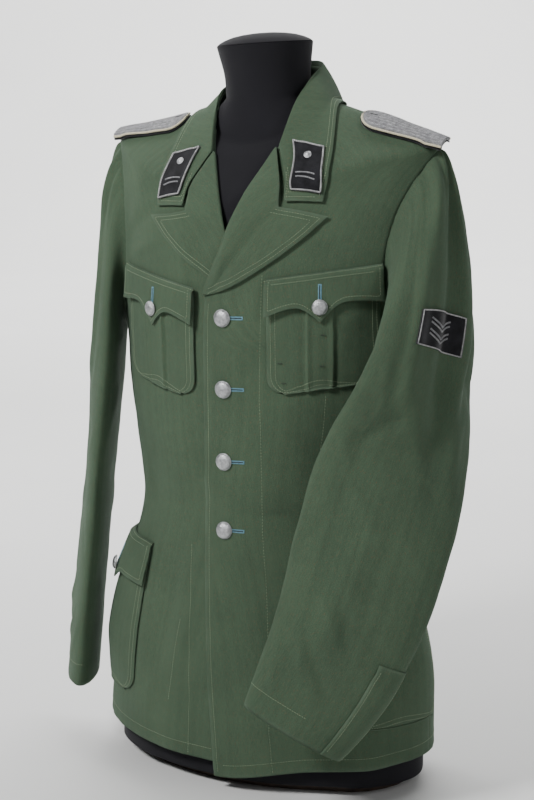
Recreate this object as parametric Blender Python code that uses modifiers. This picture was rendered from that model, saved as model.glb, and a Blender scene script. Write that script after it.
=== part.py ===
"""A military jacket on a limbless dress form, in metres, +Z up, facing -Y.

The jacket's left side is +X. The origin is the centre of the form's foot plate, on the floor.
The body of the jacket is one smooth surface, read by an angle round the figure and a height, and
each panel is a part of it between two seams. The pieces sewn on it use the same surface, moved out.
"""
import math

import bmesh
import bpy
from mathutils import Vector

# Cloth and seams
CLOTH = 0.0015
SEAM_GAP = 0.00035
LAY_GAP = 0.0006
HEM_H = 0.042
ARMPIT_H = 0.512
TIP_H = 0.708
NECK_H = 0.765
LAPEL_TOP_H = 0.750
BREAK_H = 0.572

# Sections of the jacket body, from the hem to the neck seam. side_h is the height at the side seam
# or on the shoulder ridge, and the front and back of a section may stand lower than its sides.
# Near the neck the sections are moved across, and the side_z is what the side adds to side_h.
BODY_COLUMNS = (
    "side_h", "half_width", "front_y", "side_y", "back_y", "front_z", "back_z", "power",
    "across", "side_z",
)
BODY_SECTIONS = (
    (0.042, 0.203, -0.117, 0.002, 0.120, 0.032, 0.046, 1.00, 0.000, 0.000),
    (0.130, 0.199, -0.115, 0.002, 0.120, 0.127, 0.132, 1.00, 0.000, 0.000),
    (0.220, 0.179, -0.109, 0.000, 0.108, 0.220, 0.220, 1.00, 0.000, 0.000),
    (0.325, 0.151, -0.105, -0.002, 0.096, 0.325, 0.325, 1.03, 0.000, 0.000),
    (0.430, 0.171, -0.106, 0.000, 0.106, 0.428, 0.430, 1.10, 0.000, 0.000),
    (0.512, 0.180, -0.108, 0.003, 0.114, 0.507, 0.513, 1.14, 0.000, 0.000),
    (0.575, 0.187, -0.109, 0.006, 0.116, 0.562, 0.578, 1.16, 0.000, 0.001),
    (0.640, 0.194, -0.105, 0.010, 0.113, 0.614, 0.643, 1.22, 0.000, 0.004),
    (0.708, 0.199, -0.089, 0.016, 0.102, 0.665, 0.700, 1.32, 0.000, 0.009),
    (0.733, 0.157, -0.070, 0.014, 0.090, 0.692, 0.728, 1.25, -0.001, 0.002),
    (0.750, 0.113, -0.055, 0.012, 0.081, 0.712, 0.741, 1.12, -0.002, -0.003),
    (0.765, 0.075, -0.043, 0.010, 0.072, 0.728, 0.752, 1.00, -0.004, -0.006),
)
SIDE_RISE = 2.2
# The shoulders and the neck lean a little: up on the left side and down on the right.
LEAN_Z = 0.0060
LEAN_SPAN = 0.200

# Broad folds of the body: a soft ridge or trough at an angle and a height, which leans with height.
FOLD_COLUMNS = ("angle", "height", "angle_width", "height_width", "depth", "lean")
BODY_FOLDS = (
    (-26.0, 0.200, 7.0, 0.090, -0.0045, 20.0),
    (-48.0, 0.330, 9.0, 0.050, -0.0030, 40.0),
    (30.0, 0.060, 10.0, 0.050, -0.0040, 0.0),
    (52.0, 0.045, 9.0, 0.050, 0.0045, 0.0),
    (-78.0, 0.350, 9.0, 0.060, 0.0035, 0.0),
    (75.0, 0.350, 9.0, 0.060, 0.0035, 0.0),
    (122.0, 0.140, 10.0, 0.140, 0.0060, 6.0),
    (146.0, 0.120, 9.0, 0.130, -0.0050, 4.0),
    (168.0, 0.150, 9.0, 0.150, 0.0055, 0.0),
    (-124.0, 0.130, 10.0, 0.130, 0.0060, -6.0),
    (-150.0, 0.140, 9.0, 0.140, -0.0050, -4.0),
    (150.0, 0.340, 14.0, 0.035, -0.0035, 60.0),
    (-145.0, 0.350, 14.0, 0.035, -0.0035, -60.0),
    (118.0, 0.560, 8.0, 0.090, 0.0040, -10.0),
    (-118.0, 0.560, 8.0, 0.090, 0.0040, 10.0),
)

# The edge of each front, as a distance past the centre line, and above the break its roll line.
EDGE_COLUMNS = ("side_h", "past_centre")
FRONT_EDGE = (
    (0.042, 0.010),
    (0.130, 0.019),
    (0.220, 0.025),
    (0.325, 0.027),
    (0.500, 0.027),
    (0.572, 0.024),
    (0.610, 0.012),
    (0.640, 0.002),
    (0.675, -0.006),
    (0.708, -0.0165),
    (0.733, -0.0300),
    (0.750, -0.0395),
    (0.765, -0.0455),
)
LEFT_CORNER_DROP = 0.016
OVERLAP_DEPTH = 0.0023
LAPEL_TUCK_DEPTH = 0.0045

# Armholes
ARMHOLE_FRONT_ANGLE = 30.0
ARMHOLE_BACK_ANGLE = 26.0
ARMHOLE_STEPS = 10

# Sleeves: sections from under the armpit to the cuff. turn is how far the front crease is turned
# towards the body's centre, in degrees.
SLEEVE_COLUMNS = ("z", "x", "y", "turn", "half_width", "half_thickness")
LEFT_SLEEVE = (
    (0.490, 0.2060, -0.042, 18.0, 0.080, 0.0240),
    (0.440, 0.2005, -0.060, 30.0, 0.082, 0.0240),
    (0.400, 0.1935, -0.076, 43.0, 0.083, 0.0240),
    (0.353, 0.1850, -0.092, 55.0, 0.084, 0.0240),
    (0.298, 0.1755, -0.106, 61.0, 0.083, 0.0230),
    (0.243, 0.1640, -0.119, 63.0, 0.080, 0.0220),
    (0.187, 0.1470, -0.133, 63.0, 0.075, 0.0210),
    (0.138, 0.1265, -0.147, 63.0, 0.068, 0.0200),
    (0.102, 0.1080, -0.158, 63.0, 0.060, 0.0185),
)
RIGHT_SLEEVE = (
    (0.490, 0.2035, -0.008, 27.0, 0.075, 0.0185),
    (0.440, 0.2075, -0.009, 27.0, 0.076, 0.0180),
    (0.380, 0.2135, -0.011, 27.0, 0.077, 0.0175),
    (0.320, 0.2190, -0.013, 27.0, 0.076, 0.0170),
    (0.260, 0.2245, -0.015, 27.0, 0.075, 0.0170),
    (0.200, 0.2300, -0.018, 27.0, 0.073, 0.0175),
    (0.150, 0.2345, -0.021, 27.0, 0.070, 0.0180),
    (0.112, 0.2375, -0.023, 27.0, 0.066, 0.0185),
    (0.078, 0.2400, -0.025, 27.0, 0.062, 0.0185),
)
# Folds of a sleeve: ridges and troughs that run down from the gathered head. start and end are
# rows of the sleeve, 0 at the armhole seam and 1 under the armpit, then one for each section.
SLEEVE_FOLD_COLUMNS = ("start", "end", "start_angle", "end_angle", "angle_width", "depth")
SLEEVE_FOLDS = (
    (0.05, 3.2, 24.0, -2.0, 15.0, 0.0060),
    (0.05, 3.6, 6.0, -30.0, 14.0, -0.0060),
    (0.05, 4.2, -10.0, -52.0, 13.0, 0.0060),
    (0.05, 2.0, -34.0, -76.0, 12.0, -0.0040),
    (0.30, 2.4, 150.0, 160.0, 20.0, -0.0040),
    (2.60, 5.4, 40.0, 30.0, 16.0, -0.0030),
    (4.60, 7.6, 8.0, 20.0, 13.0, 0.0030),
)

# Collar: the fold line as polar places round the neck, and the outer edge as places on the body.
NECK_CENTRE = (-0.004, 0.008)
COLLAR_COLUMNS = (
    "round", "fold_x", "fold_y", "fold_z", "edge_x", "edge_y", "edge_z", "bulge",
)
COLLAR_SECTIONS = (
    (0.0, 0.0400, -0.0560, 0.7170, 0.1000, -0.0700, 0.6560, 0.0000),
    (1.0, 0.0455, -0.0410, 0.7410, 0.1010, -0.0540, 0.6860, 0.0005),
    (2.0, 0.0510, -0.0210, 0.7680, 0.0960, -0.0300, 0.7200, 0.0015),
    (3.0, 0.0560, 0.0060, 0.7890, 0.0860, 0.0040, 0.7500, 0.0020),
    (4.0, 0.0520, 0.0370, 0.8000, 0.0740, 0.0500, 0.7510, 0.0025),
    (5.0, 0.0320, 0.0610, 0.8060, 0.0440, 0.0810, 0.7460, 0.0035),
    (6.0, 0.0000, 0.0690, 0.8080, 0.0000, 0.0890, 0.7440, 0.0035),
)
COLLAR_CLEAR = 0.0026
# Corners of the collar tab as (round, share): top inner, top outer, lower outer, lower inner.
TAB_CORNERS = ((0.72, 0.20), (1.42, 0.82), (0.20, 0.955), (0.16, 0.54))
COLLAR_DROP = 0.0085
NOTCH_XZ = (0.0590, 0.6580)

# Lapels: the outer edge from the break to the tip, by x and z.
LAPEL_EDGE_XZ = (
    (-0.0160, 0.5610), (0.0080, 0.5700), (0.0414, 0.5900), (0.0780, 0.6185), (0.1095, 0.6490),
)
LAPEL_LIFT = 0.0022
LAPEL_ROLL = 0.0040

# Pockets of the fronts: inner and outer edges by x, heights at the inner and outer top corners.
POCKET_COLUMNS = ("side", "inner_x", "outer_x", "inner_z", "outer_z", "height")
CHEST_POCKETS = {
    "left": (1, 0.0490, 0.1570, 0.5850, 0.6020, 0.130),
    "right": (-1, 0.0385, 0.1470, 0.5710, 0.5880, 0.126),
}
POCKET_CORNER = 0.020
PLEAT_HALF = 0.0125
PLEAT_RISE = 0.0012
CHEST_FLAP = (0.040, 0.034, 0.054)
FLAP_SEAM = 0.004
HIP_FRONT_ANGLE = 40.0
HIP_REAR_ANGLE = 97.0
HIP_TOP_Z = 0.272
HIP_BOTTOM_Z = 0.086
HIP_BULGE = 0.006
HIP_FLAP = (0.052, 0.048, 0.062)

# Buttons
BUTTON_X = -0.001
BUTTON_HEIGHTS = (0.5365, 0.4580, 0.3775, 0.3000)
BUTTON_RADIUS = 0.0098
POCKET_BUTTON_RADIUS = 0.0085
BUTTON_GAP = 0.0006

# Shoulder straps
STRAP_ENDS = {1: ((0.1130, -0.0040), (0.2040, 0.0080)), -1: ((0.0990, -0.0040), (0.1960, 0.0080))}
STRAP_HALF = 0.0215
STRAP_BASE = 0.0020
STRAP_BRAID = 0.0034
STRAP_LIFT = (0.0000, 0.0009, 0.0030)

# Dress form
FORM_NECK_COLUMNS = ("radius", "centre_x", "centre_y", "z")
FORM_NECK = (
    (0.0470, -0.0040, 0.0080, 0.7670),
    (0.0475, -0.0040, 0.0055, 0.7900),
    (0.0530, -0.0040, -0.0015, 0.8260),
)
FORM_NECK_LEAN = 0.07
FORM_BASE = 0.012

# Colours
GREEN = (0.085, 0.125, 0.088, 1.0)
DARK = (0.012, 0.012, 0.014, 1.0)
ALLOY = (0.72, 0.73, 0.74, 1.0)
SILVER = (0.62, 0.62, 0.63, 1.0)
CHARCOAL = (0.020, 0.019, 0.023, 1.0)
WOOD = (0.10, 0.07, 0.05, 1.0)


def start_clean():
    for thing in list(bpy.data.objects):
        bpy.data.objects.remove(thing)


def new_material(name, colour, roughness, metallic=0.0):
    made = bpy.data.materials.new(name)
    made.use_nodes = True
    shader = made.node_tree.nodes["Principled BSDF"]
    shader.inputs["Base Color"].default_value = colour
    shader.inputs["Roughness"].default_value = roughness
    shader.inputs["Metallic"].default_value = metallic
    return made


def slopes_of(places, values):
    """Slopes of a smooth curve through the values that never swings past them."""
    steps = [b - a for a, b in zip(places, places[1:])]
    rates = [(b - a) / step for a, b, step in zip(values, values[1:], steps)]
    found = [rates[0]]
    for before, after, short, long in zip(rates, rates[1:], steps, steps[1:]):
        if before * after <= 0:
            found.append(0.0)
            continue
        first = 2 * long + short
        second = long + 2 * short
        found.append((first + second) / (first / before + second / after))
    return found + [rates[-1]]


class Table:
    """Named columns, read smoothly between the rows by the first column."""

    def __init__(self, columns, rows):
        rows = sorted(rows)
        self.places = [row[0] for row in rows]
        self.columns = {}
        for index, name in enumerate(columns[1:], start=1):
            values = [row[index] for row in rows]
            self.columns[name] = (values, slopes_of(self.places, values))

    def read(self, at):
        last = len(self.places) - 2
        index = next((i for i in range(last + 1) if at <= self.places[i + 1]), last)
        step = self.places[index + 1] - self.places[index]
        share = (at - self.places[index]) / step
        found = {}
        for name, (values, slopes) in self.columns.items():
            low, high = values[index], values[index + 1]
            if share < 0:
                found[name] = low + slopes[index] * share * step
                continue
            if share > 1:
                found[name] = high + slopes[index + 1] * (share - 1) * step
                continue
            ease = share * share * (3 - 2 * share)
            early = share * (1 - share) ** 2 * slopes[index]
            late = share * share * (share - 1) * slopes[index + 1]
            found[name] = low + (high - low) * ease + (early + late) * step
        return found


BODY = Table(BODY_COLUMNS, BODY_SECTIONS)
EDGE = Table(EDGE_COLUMNS, FRONT_EDGE)
COLLAR = Table(COLLAR_COLUMNS, COLLAR_SECTIONS)


def bump(distance, width):
    return math.exp(-((distance / width) ** 2))


def ease(low, high, value):
    share = min(1.0, max(0.0, (value - low) / (high - low)))
    return share * share * (3 - 2 * share)


def body_fold(angle, height):
    total = 0.0
    for row in BODY_FOLDS:
        fold = dict(zip(FOLD_COLUMNS, row))
        centre = fold["angle"] + fold["lean"] * (height - fold["height"])
        turn = (angle - centre + 180.0) % 360.0 - 180.0
        along = bump(height - fold["height"], fold["height_width"])
        total += fold["depth"] * bump(turn, fold["angle_width"]) * along
    return total


def lean(x):
    return LEAN_Z * math.sin(math.pi * min(1.0, abs(x) / LEAN_SPAN)) * (1 if x > 0 else -1)


def body_base(angle, height):
    row = BODY.read(height)
    sine, cosine = math.sin(math.radians(angle)), math.cos(math.radians(angle))
    across = math.copysign(abs(sine) ** row["power"], sine)
    along = abs(cosine) ** row["power"]
    reach = row["front_y"] if cosine > 0 else row["back_y"]
    level = row["front_z"] if cosine > 0 else row["back_z"]
    fold = body_fold(angle, height)
    x = row["half_width"] * across
    side_z = height + row["side_z"]
    return Vector(
        (
            x + row["across"] + sine * fold,
            row["side_y"] + (reach - row["side_y"]) * along - cosine * fold,
            level + (side_z - level) * abs(sine) ** SIDE_RISE + lean(x) * ease(0.60, 0.70, height),
        )
    )


def body_normal(angle, height):
    round_step, rise_step = 0.6, 0.0012
    over = body_base(angle + round_step, height) - body_base(angle - round_step, height)
    up = body_base(angle, height + rise_step) - body_base(angle, height - rise_step)
    return over.cross(up).normalized()


def body(angle, height, out=0.0):
    """A point of the jacket's outer surface, moved out along its normal."""
    place = body_base(angle, height)
    return place + body_normal(angle, height) * out if out else place


def angle_at(x, height):
    row = BODY.read(height)
    share = min(1.0, abs(x) / row["half_width"])
    return math.copysign(math.degrees(math.asin(share ** (1 / row["power"]))), x)


def height_at(angle, z):
    height = z
    for _ in range(8):
        height += z - body_base(angle, height).z
    return height


def on_front(x, z):
    """(angle, height) of the point of the fronts that stands at x and z."""
    height = z
    for _ in range(10):
        angle = angle_at(x, height)
        height += z - body_base(angle, height).z
    return angle_at(x, height), height


def clear_of_body(spot, gap):
    """The spot, moved out where it stands less than gap above the jacket's surface."""
    height = min(NECK_H, max(0.60, spot.z))
    angle = math.degrees(math.atan2(spot.x, NECK_CENTRE[1] - spot.y))
    for _ in range(30):
        place = body_base(angle, height)
        over = (body_base(angle + 0.5, height) - place) / 0.5
        up = (body_base(angle, height + 0.001) - place) / 0.001
        away = spot - place
        a, b, c = over.dot(over), over.dot(up), up.dot(up)
        d, e = over.dot(away), up.dot(away)
        spread = a * c - b * b
        angle += max(-4.0, min(4.0, (d * c - e * b) / spread))
        height += max(-0.006, min(0.006, (a * e - b * d) / spread))
        height = min(NECK_H + 0.03, max(0.50, height))
    normal = body_normal(angle, height)
    short = gap - (spot - body_base(angle, height)).dot(normal)
    soft = 0.0006
    push = soft * math.log1p(math.exp(max(-30.0, min(30.0, short / soft))))
    return spot + normal * push * (1 - ease(NECK_H - 0.004, NECK_H + 0.010, height))


def armhole_angle(height, back=False):
    middle, half = (ARMPIT_H + TIP_H) / 2, (TIP_H - ARMPIT_H) / 2
    share = min(1.0, abs(height - middle) / half)
    bow = math.sqrt(1 - share * share)
    return 90.0 + ARMHOLE_BACK_ANGLE * bow if back else 90.0 - ARMHOLE_FRONT_ANGLE * bow


def armhole_heights():
    middle, half = (ARMPIT_H + TIP_H) / 2, (TIP_H - ARMPIT_H) / 2
    turns = [math.pi * step / ARMHOLE_STEPS for step in range(ARMHOLE_STEPS + 1)]
    return [middle - half * math.cos(turn) for turn in turns]


def panel_heights():
    lower = [HEM_H, 0.078, 0.120, 0.165, 0.212, 0.262, 0.312, 0.362, 0.415, 0.465]
    upper = [0.7200, 0.7320, 0.7410, LAPEL_TOP_H, 0.7575, NECK_H]
    return lower + armhole_heights() + upper


def side_angle(height, back=False):
    if ARMPIT_H < height < TIP_H:
        return armhole_angle(height, back)
    return 90.0


def seam_turn(height):
    """The angle that parts two panels by the seam gap where they meet at a side."""
    row = BODY.read(height)
    depth = row["side_y"] - row["front_y"]
    return math.degrees(math.asin((SEAM_GAP / depth) ** (1 / row["power"])))


def add_object(name, maker, material, smooth=True):
    bmesh.ops.recalc_face_normals(maker, faces=maker.faces[:])
    if maker.calc_volume(signed=True) < 0:
        bmesh.ops.reverse_faces(maker, faces=maker.faces[:])
    mesh = bpy.data.meshes.new(name)
    maker.to_mesh(mesh)
    maker.free()
    if smooth:
        mesh.shade_smooth()
        mesh.set_sharp_from_angle(angle=math.radians(50))
    mesh.materials.append(material)
    made = bpy.data.objects.new(name, mesh)
    PARTS.objects.link(made)
    return made


def panel(name, place, across, along, material, depth=CLOTH):
    """A closed wall: place(a, b, depth) for the values in across and along, at its two faces."""
    maker = bmesh.new()
    bmesh.ops.create_grid(maker, x_segments=len(across) - 1, y_segments=len(along) - 1, size=1.0)
    grown = bmesh.ops.extrude_face_region(maker, geom=maker.faces[:], use_keep_orig=True)
    inner = [item for item in grown["geom"] if isinstance(item, bmesh.types.BMVert)]
    bmesh.ops.translate(maker, verts=inner, vec=(0.0, 0.0, -1.0))
    for corner in maker.verts:
        first = across[round((corner.co.x + 1) / 2 * (len(across) - 1))]
        second = along[round((corner.co.y + 1) / 2 * (len(along) - 1))]
        corner.co = place(first, second, -corner.co.z * depth)
    return add_object(name, maker, material)


def rings_into(maker, rings, steps, place, closed):
    """Rings of corners joined one to the next, and the last to the first where it is closed."""
    first = bmesh.ops.create_circle(maker, segments=steps, radius=1.0)["verts"]
    loops = [list(first)]
    edges = list({edge for corner in first for edge in corner.link_edges})
    for _ in rings[1:]:
        grown = bmesh.ops.extrude_edge_only(maker, edges=edges)["geom"]
        edges = [item for item in grown if isinstance(item, bmesh.types.BMEdge)]
        loops.append([item for item in grown if isinstance(item, bmesh.types.BMVert)])
    turns = []
    for loop in loops:
        turns.append([math.degrees(math.atan2(c.co.y, c.co.x)) % 360.0 for c in loop])
    for loop, angles, ring in zip(loops, turns, rings):
        for corner, angle in zip(loop, angles):
            corner.co = place(angle, ring)
    if closed:
        ends = list({e for c in loops[0] for e in c.link_edges if e.is_boundary})
        bmesh.ops.bridge_loops(maker, edges=ends + [e for e in edges if e.is_boundary])
    else:
        bmesh.ops.holes_fill(maker, edges=[e for e in maker.edges if e.is_boundary], sides=0)


def tube(name, place, rings, steps, material, depth=CLOTH):
    """An open tube with a wall: place(angle, ring, depth) at its two faces, rim to rim."""
    maker = bmesh.new()
    skins = [(ring, 0.0) for ring in rings] + [(ring, depth) for ring in reversed(rings)]
    rings_into(maker, skins, steps, lambda angle, skin: place(angle, skin[0], skin[1]), True)
    return add_object(name, maker, material)


def solid_of_rings(name, place, rings, steps, material):
    """A solid through rings, closed flat at both ends."""
    maker = bmesh.new()
    rings_into(maker, rings, steps, place, False)
    return add_object(name, maker, material)


def turned(name, profile, spot, axis, material, steps):
    """A turned piece: the profile's (radius, height) pairs spun about an axis through spot."""
    mesh = bpy.data.meshes.new(name)
    maker = bmesh.new()
    corners = [maker.verts.new((radius, 0.0, height)) for radius, height in profile]
    for low, high in zip(corners, corners[1:]):
        maker.edges.new((low, high))
    maker.to_mesh(mesh)
    maker.free()
    mesh.materials.append(material)
    made = bpy.data.objects.new(name, mesh)
    PARTS.objects.link(made)
    screw = made.modifiers.new("Turn", "SCREW")
    screw.steps = screw.render_steps = steps
    screw.use_merge_vertices = True
    screw.merge_threshold = 0.00001
    made.location = spot
    made.rotation_mode = "QUATERNION"
    made.rotation_quaternion = Vector(axis).to_track_quat("Z", "Y")
    return made


# Fronts and back

def front_angle(side, height):
    """The angle of a front's own edge: past the centre line, or its roll line."""
    past = EDGE.read(height)["past_centre"]
    return -side * angle_at(past, height) if past >= 0 else side * angle_at(-past, height)


def right_depth(x, height):
    """How deep the right front lies under the left one where they overlap."""
    tuck = ease(0.53, 0.56, height) * (1 - ease(0.66, 0.70, height))
    depth = OVERLAP_DEPTH + (LAPEL_TUCK_DEPTH - OVERLAP_DEPTH) * tuck
    return depth * ease(-0.062, -0.032, x) * (1 - ease(0.640, 0.690, height))


def corner_drop(angle, height):
    """The left front hangs lower at its corner."""
    return LEFT_CORNER_DROP * bump(angle + 2.0, 20.0) * (1 - ease(HEM_H, 0.20, height))


def front_place(side):
    def place(share, height, depth):
        edge = front_angle(side, height)
        seam = side * (side_angle(height) - seam_turn(height))
        angle = edge + (seam - edge) * share
        out = 0.0
        if side < 0:
            out = -right_depth(body_base(angle, height).x, height)
        spot = body(angle, height, out - depth)
        if side > 0:
            spot.z -= corner_drop(angle, height)
        return spot

    return place


def back_place(share, height, depth):
    seam = side_angle(height, back=True) + seam_turn(height)
    return body(seam + (360.0 - 2 * seam) * share, height, -depth)


def build_body():
    heights = panel_heights()
    shares = [0.0, 0.035, 0.10, 0.20, 0.31, 0.42, 0.53, 0.64, 0.75, 0.84, 0.92, 1.0]
    panel("front_left", front_place(1), shares, heights, CLOTH_GREEN)
    panel("front_right", front_place(-1), shares, heights, CLOTH_GREEN)
    steps = [step / 20 for step in range(21)]
    panel("back", back_place, steps, heights, CLOTH_GREEN)


# Lapels and collar

def mix(first, second, share):
    return tuple(a + (b - a) * share for a, b in zip(first, second))


NOTCH = on_front(*NOTCH_XZ)
LAPEL_EDGE = [on_front(*spot) for spot in LAPEL_EDGE_XZ]


def along_points(points, share):
    """A place on a smooth path through evenly spaced (angle, height) points."""
    rows = [(index / (len(points) - 1), *point) for index, point in enumerate(points)]
    row = Table(("at", "angle", "height"), rows).read(share)
    return row["angle"], row["height"]


def gorge(share):
    """The lapel's top: down the gorge seam from the roll line to the notch, then to the tip."""
    roll = (front_angle(1, LAPEL_TOP_H), LAPEL_TOP_H)
    if share < 0.5:
        return mix(roll, NOTCH, share / 0.5)
    return mix(NOTCH, LAPEL_EDGE[-1], (share - 0.5) / 0.5)


def lapel_spot(share, rise):
    """(angle, height) on the lapel: share 0 is the roll line, rise 0 the break."""
    height = BREAK_H + (LAPEL_TOP_H - BREAK_H) * rise
    roll = (front_angle(1, height), height)
    edge = along_points(LAPEL_EDGE, rise)
    bottom = mix((front_angle(1, BREAK_H), BREAK_H), LAPEL_EDGE[0], share)
    low, high = mix(roll, edge, share), mix(bottom, gorge(share), rise)
    corners = mix(
        mix((front_angle(1, BREAK_H), BREAK_H), LAPEL_EDGE[0], share),
        mix((front_angle(1, LAPEL_TOP_H), LAPEL_TOP_H), LAPEL_EDGE[-1], share),
        rise,
    )
    return low[0] + high[0] - corners[0], low[1] + high[1] - corners[1]


def lapel_out(share, rise):
    roll = LAPEL_ROLL * math.sin(math.pi * min(1.0, share * 1.6 + 0.12)) * ease(0.0, 0.35, rise)
    return CLOTH + LAY_GAP + LAPEL_LIFT * share * ease(0.0, 0.25, rise) + roll


def lapel_place(side):
    def place(share, rise, depth):
        angle, height = lapel_spot(share, rise)
        angle *= side
        out = lapel_out(share, rise)
        if side < 0:
            x = body_base(angle, height).x
            buried = ease(-0.045, -0.025, x) * (1 - ease(0.66, 0.70, height))
            out = (CLOTH + LAY_GAP) * buried + out * (1 - buried) - right_depth(x, height)
        return body(angle, height, out - depth)

    return place


def leaning(spot, side):
    """A spot given for the left side, on either side of the leaning neck."""
    x = side * spot.x
    rise = lean(x)
    if side < 0:
        rise -= COLLAR_DROP * ease(0.715, 0.780, spot.z) * ease(0.0, 0.045, spot.x)
    return Vector((x + NECK_CENTRE[0] * ease(0.70, 0.765, spot.z), spot.y, spot.z + rise))


def fold_point(turn, side):
    """A point of the collar's fold: turn 0 at a front end, 6 at the back."""
    row = COLLAR.read(turn)
    return leaning(Vector((row["fold_x"], row["fold_y"], row["fold_z"])), side)


def fold_way(turn, side):
    return fold_point(min(turn + 0.1, 6.0), side) - fold_point(max(turn - 0.1, 0.0), side)


def collar_edge(turn, side):
    row = COLLAR.read(turn)
    return leaning(Vector((row["edge_x"], row["edge_y"], row["edge_z"])), side)


def collar_end(share, side):
    """The collar's front end: down the gorge seam to the notch, then out to the collar's point."""
    def along_gorge(part):
        angle, height = mix((front_angle(1, LAPEL_TOP_H), LAPEL_TOP_H), NOTCH, part)
        return body(side * (angle + 0.7), height + 0.0035, COLLAR_CLEAR + CLOTH)

    if share < 0.5:
        part = share / 0.5
        start = fold_point(0.0, side) - along_gorge(0.0)
        return along_gorge(part) + start * (1 - part)
    return along_gorge(1.0).lerp(collar_edge(0.0, side), (share - 0.5) / 0.5)


def fall_base(turn, share, side):
    """The fall of the collar: turn 0 at its front end and 6 at the back, share 0 at the fold."""
    fold, edge = fold_point(turn, side), collar_edge(turn, side)
    out = (edge - fold).cross(fold_way(turn, side)).normalized() * side
    middle = (fold + edge) / 2 + out * COLLAR.read(turn)["bulge"] * 2
    spot = fold * (1 - share) ** 2 + middle * 2 * share * (1 - share) + edge * share**2
    if turn < 1.0:
        plain = fold_point(0.0, side).lerp(collar_edge(0.0, side), share)
        spot += (collar_end(share, side) - plain) * (1 - turn) ** 1.5
    return clear_of_body(spot, COLLAR_CLEAR + CLOTH)


def fall(turn, share, side, out=0.0):
    """A point of the collar's fall, moved out from its outer face."""
    spot = fall_base(turn, share, side)
    if out:
        back, on = max(turn - 0.08, 0.0), min(turn + 0.08, 6.0)
        high, low = max(share - 0.05, 0.0), min(share + 0.05, 1.0)
        ahead = fall_base(on, share, side) - fall_base(back, share, side)
        down = fall_base(turn, low, side) - fall_base(turn, high, side)
        spot = spot + down.cross(ahead).normalized() * out * side
    return spot


COLLAR_TURNS = (0.0, 0.25, 0.5, 0.75, 1.0, 1.35, 1.7, 2.0, 2.35, 2.7, 3.0, 3.4, 3.8, 4.3, 4.8, 5.4)
STAND_START = 2.0


def build_collar():
    def round_neck(first):
        half = [turn for turn in COLLAR_TURNS if turn >= first]
        return half + [6.0] + [12.0 - turn for turn in reversed(half)]

    def one_side(turn):
        return (turn, 1) if turn <= 6.0 else (12.0 - turn, -1)

    def fall_place(turn, share, depth):
        turn, side = one_side(turn)
        return fall(turn, share, side, -depth)

    shares = [0.02, 0.12, 0.28, 0.46, 0.64, 0.82, 1.0]
    panel("collar_fall", fall_place, round_neck(0.0), shares, CLOTH_GREEN)

    def stand_place(turn, rise, depth):
        turn, side = one_side(turn)
        top = fold_point(turn, side)
        across, along = top.x - NECK_CENTRE[0], NECK_CENTRE[1] - top.y
        seam = body(math.degrees(math.atan2(across, along)), NECK_H)
        seam.z += SEAM_GAP * 2
        spot = seam.lerp(top, rise)
        inward = Vector((NECK_CENTRE[0] - spot.x, NECK_CENTRE[1] - spot.y, 0.0)).normalized()
        return spot + inward * (depth + 0.0032 * ease(0.1, 0.7, rise))

    panel("collar_stand", stand_place, round_neck(STAND_START), [0.0, 0.3, 0.6, 0.86], CLOTH_GREEN)


def build_lapels():
    shares = [0.0, 0.08, 0.2, 0.35, 0.5, 0.68, 0.85, 1.0]
    rises = [0.0, 0.12, 0.25, 0.38, 0.5, 0.62, 0.74, 0.87, 0.985]
    panel("lapel_left", lapel_place(1), shares, rises, CLOTH_GREEN)
    panel("lapel_right", lapel_place(-1), shares, rises, CLOTH_GREEN)


# Sleeves

def sleeve_table(side):
    rows = LEFT_SLEEVE if side > 0 else RIGHT_SLEEVE
    return Table(("row", *SLEEVE_COLUMNS), [(index + 1.0, *row) for index, row in enumerate(rows)])


SLEEVES = {1: sleeve_table(1), -1: sleeve_table(-1)}
SLEEVE_END = float(len(LEFT_SLEEVE))


def sleeve_centre(side, row):
    place = SLEEVES[side].read(row)
    return Vector((side * place["x"], place["y"], place["z"]))


def sleeve_ring(side, angle, row):
    """A point of a section at row 1 or more. Angle 0 is the outer side, 90 the front crease."""
    place = SLEEVES[side].read(row)
    centre = sleeve_centre(side, row)
    run = (sleeve_centre(side, row + 0.5) - sleeve_centre(side, max(row - 0.5, 1.0))).normalized()
    turn = math.radians(place["turn"])
    front = Vector((-side * math.sin(turn), -math.cos(turn), 0.0))
    front = (front - run * front.dot(run)).normalized()
    outer = run.cross(front) * -side
    sine, cosine = math.sin(math.radians(angle)), math.cos(math.radians(angle))
    return (
        centre
        + front * place["half_width"] * sine
        + outer * place["half_thickness"] * cosine
    ), (front * sine + outer * cosine).normalized(), run


def armhole_spot(side, angle):
    """A point just inside the armhole's edge, where the sleeve is sewn on."""
    sine, cosine = math.sin(math.radians(angle)), math.cos(math.radians(angle))
    height = (ARMPIT_H + TIP_H) / 2 + (TIP_H - ARMPIT_H) / 2 * cosine
    swing = ARMHOLE_FRONT_ANGLE if sine > 0 else ARMHOLE_BACK_ANGLE
    turn = 90.0 - swing * sine
    return side * turn, height


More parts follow.
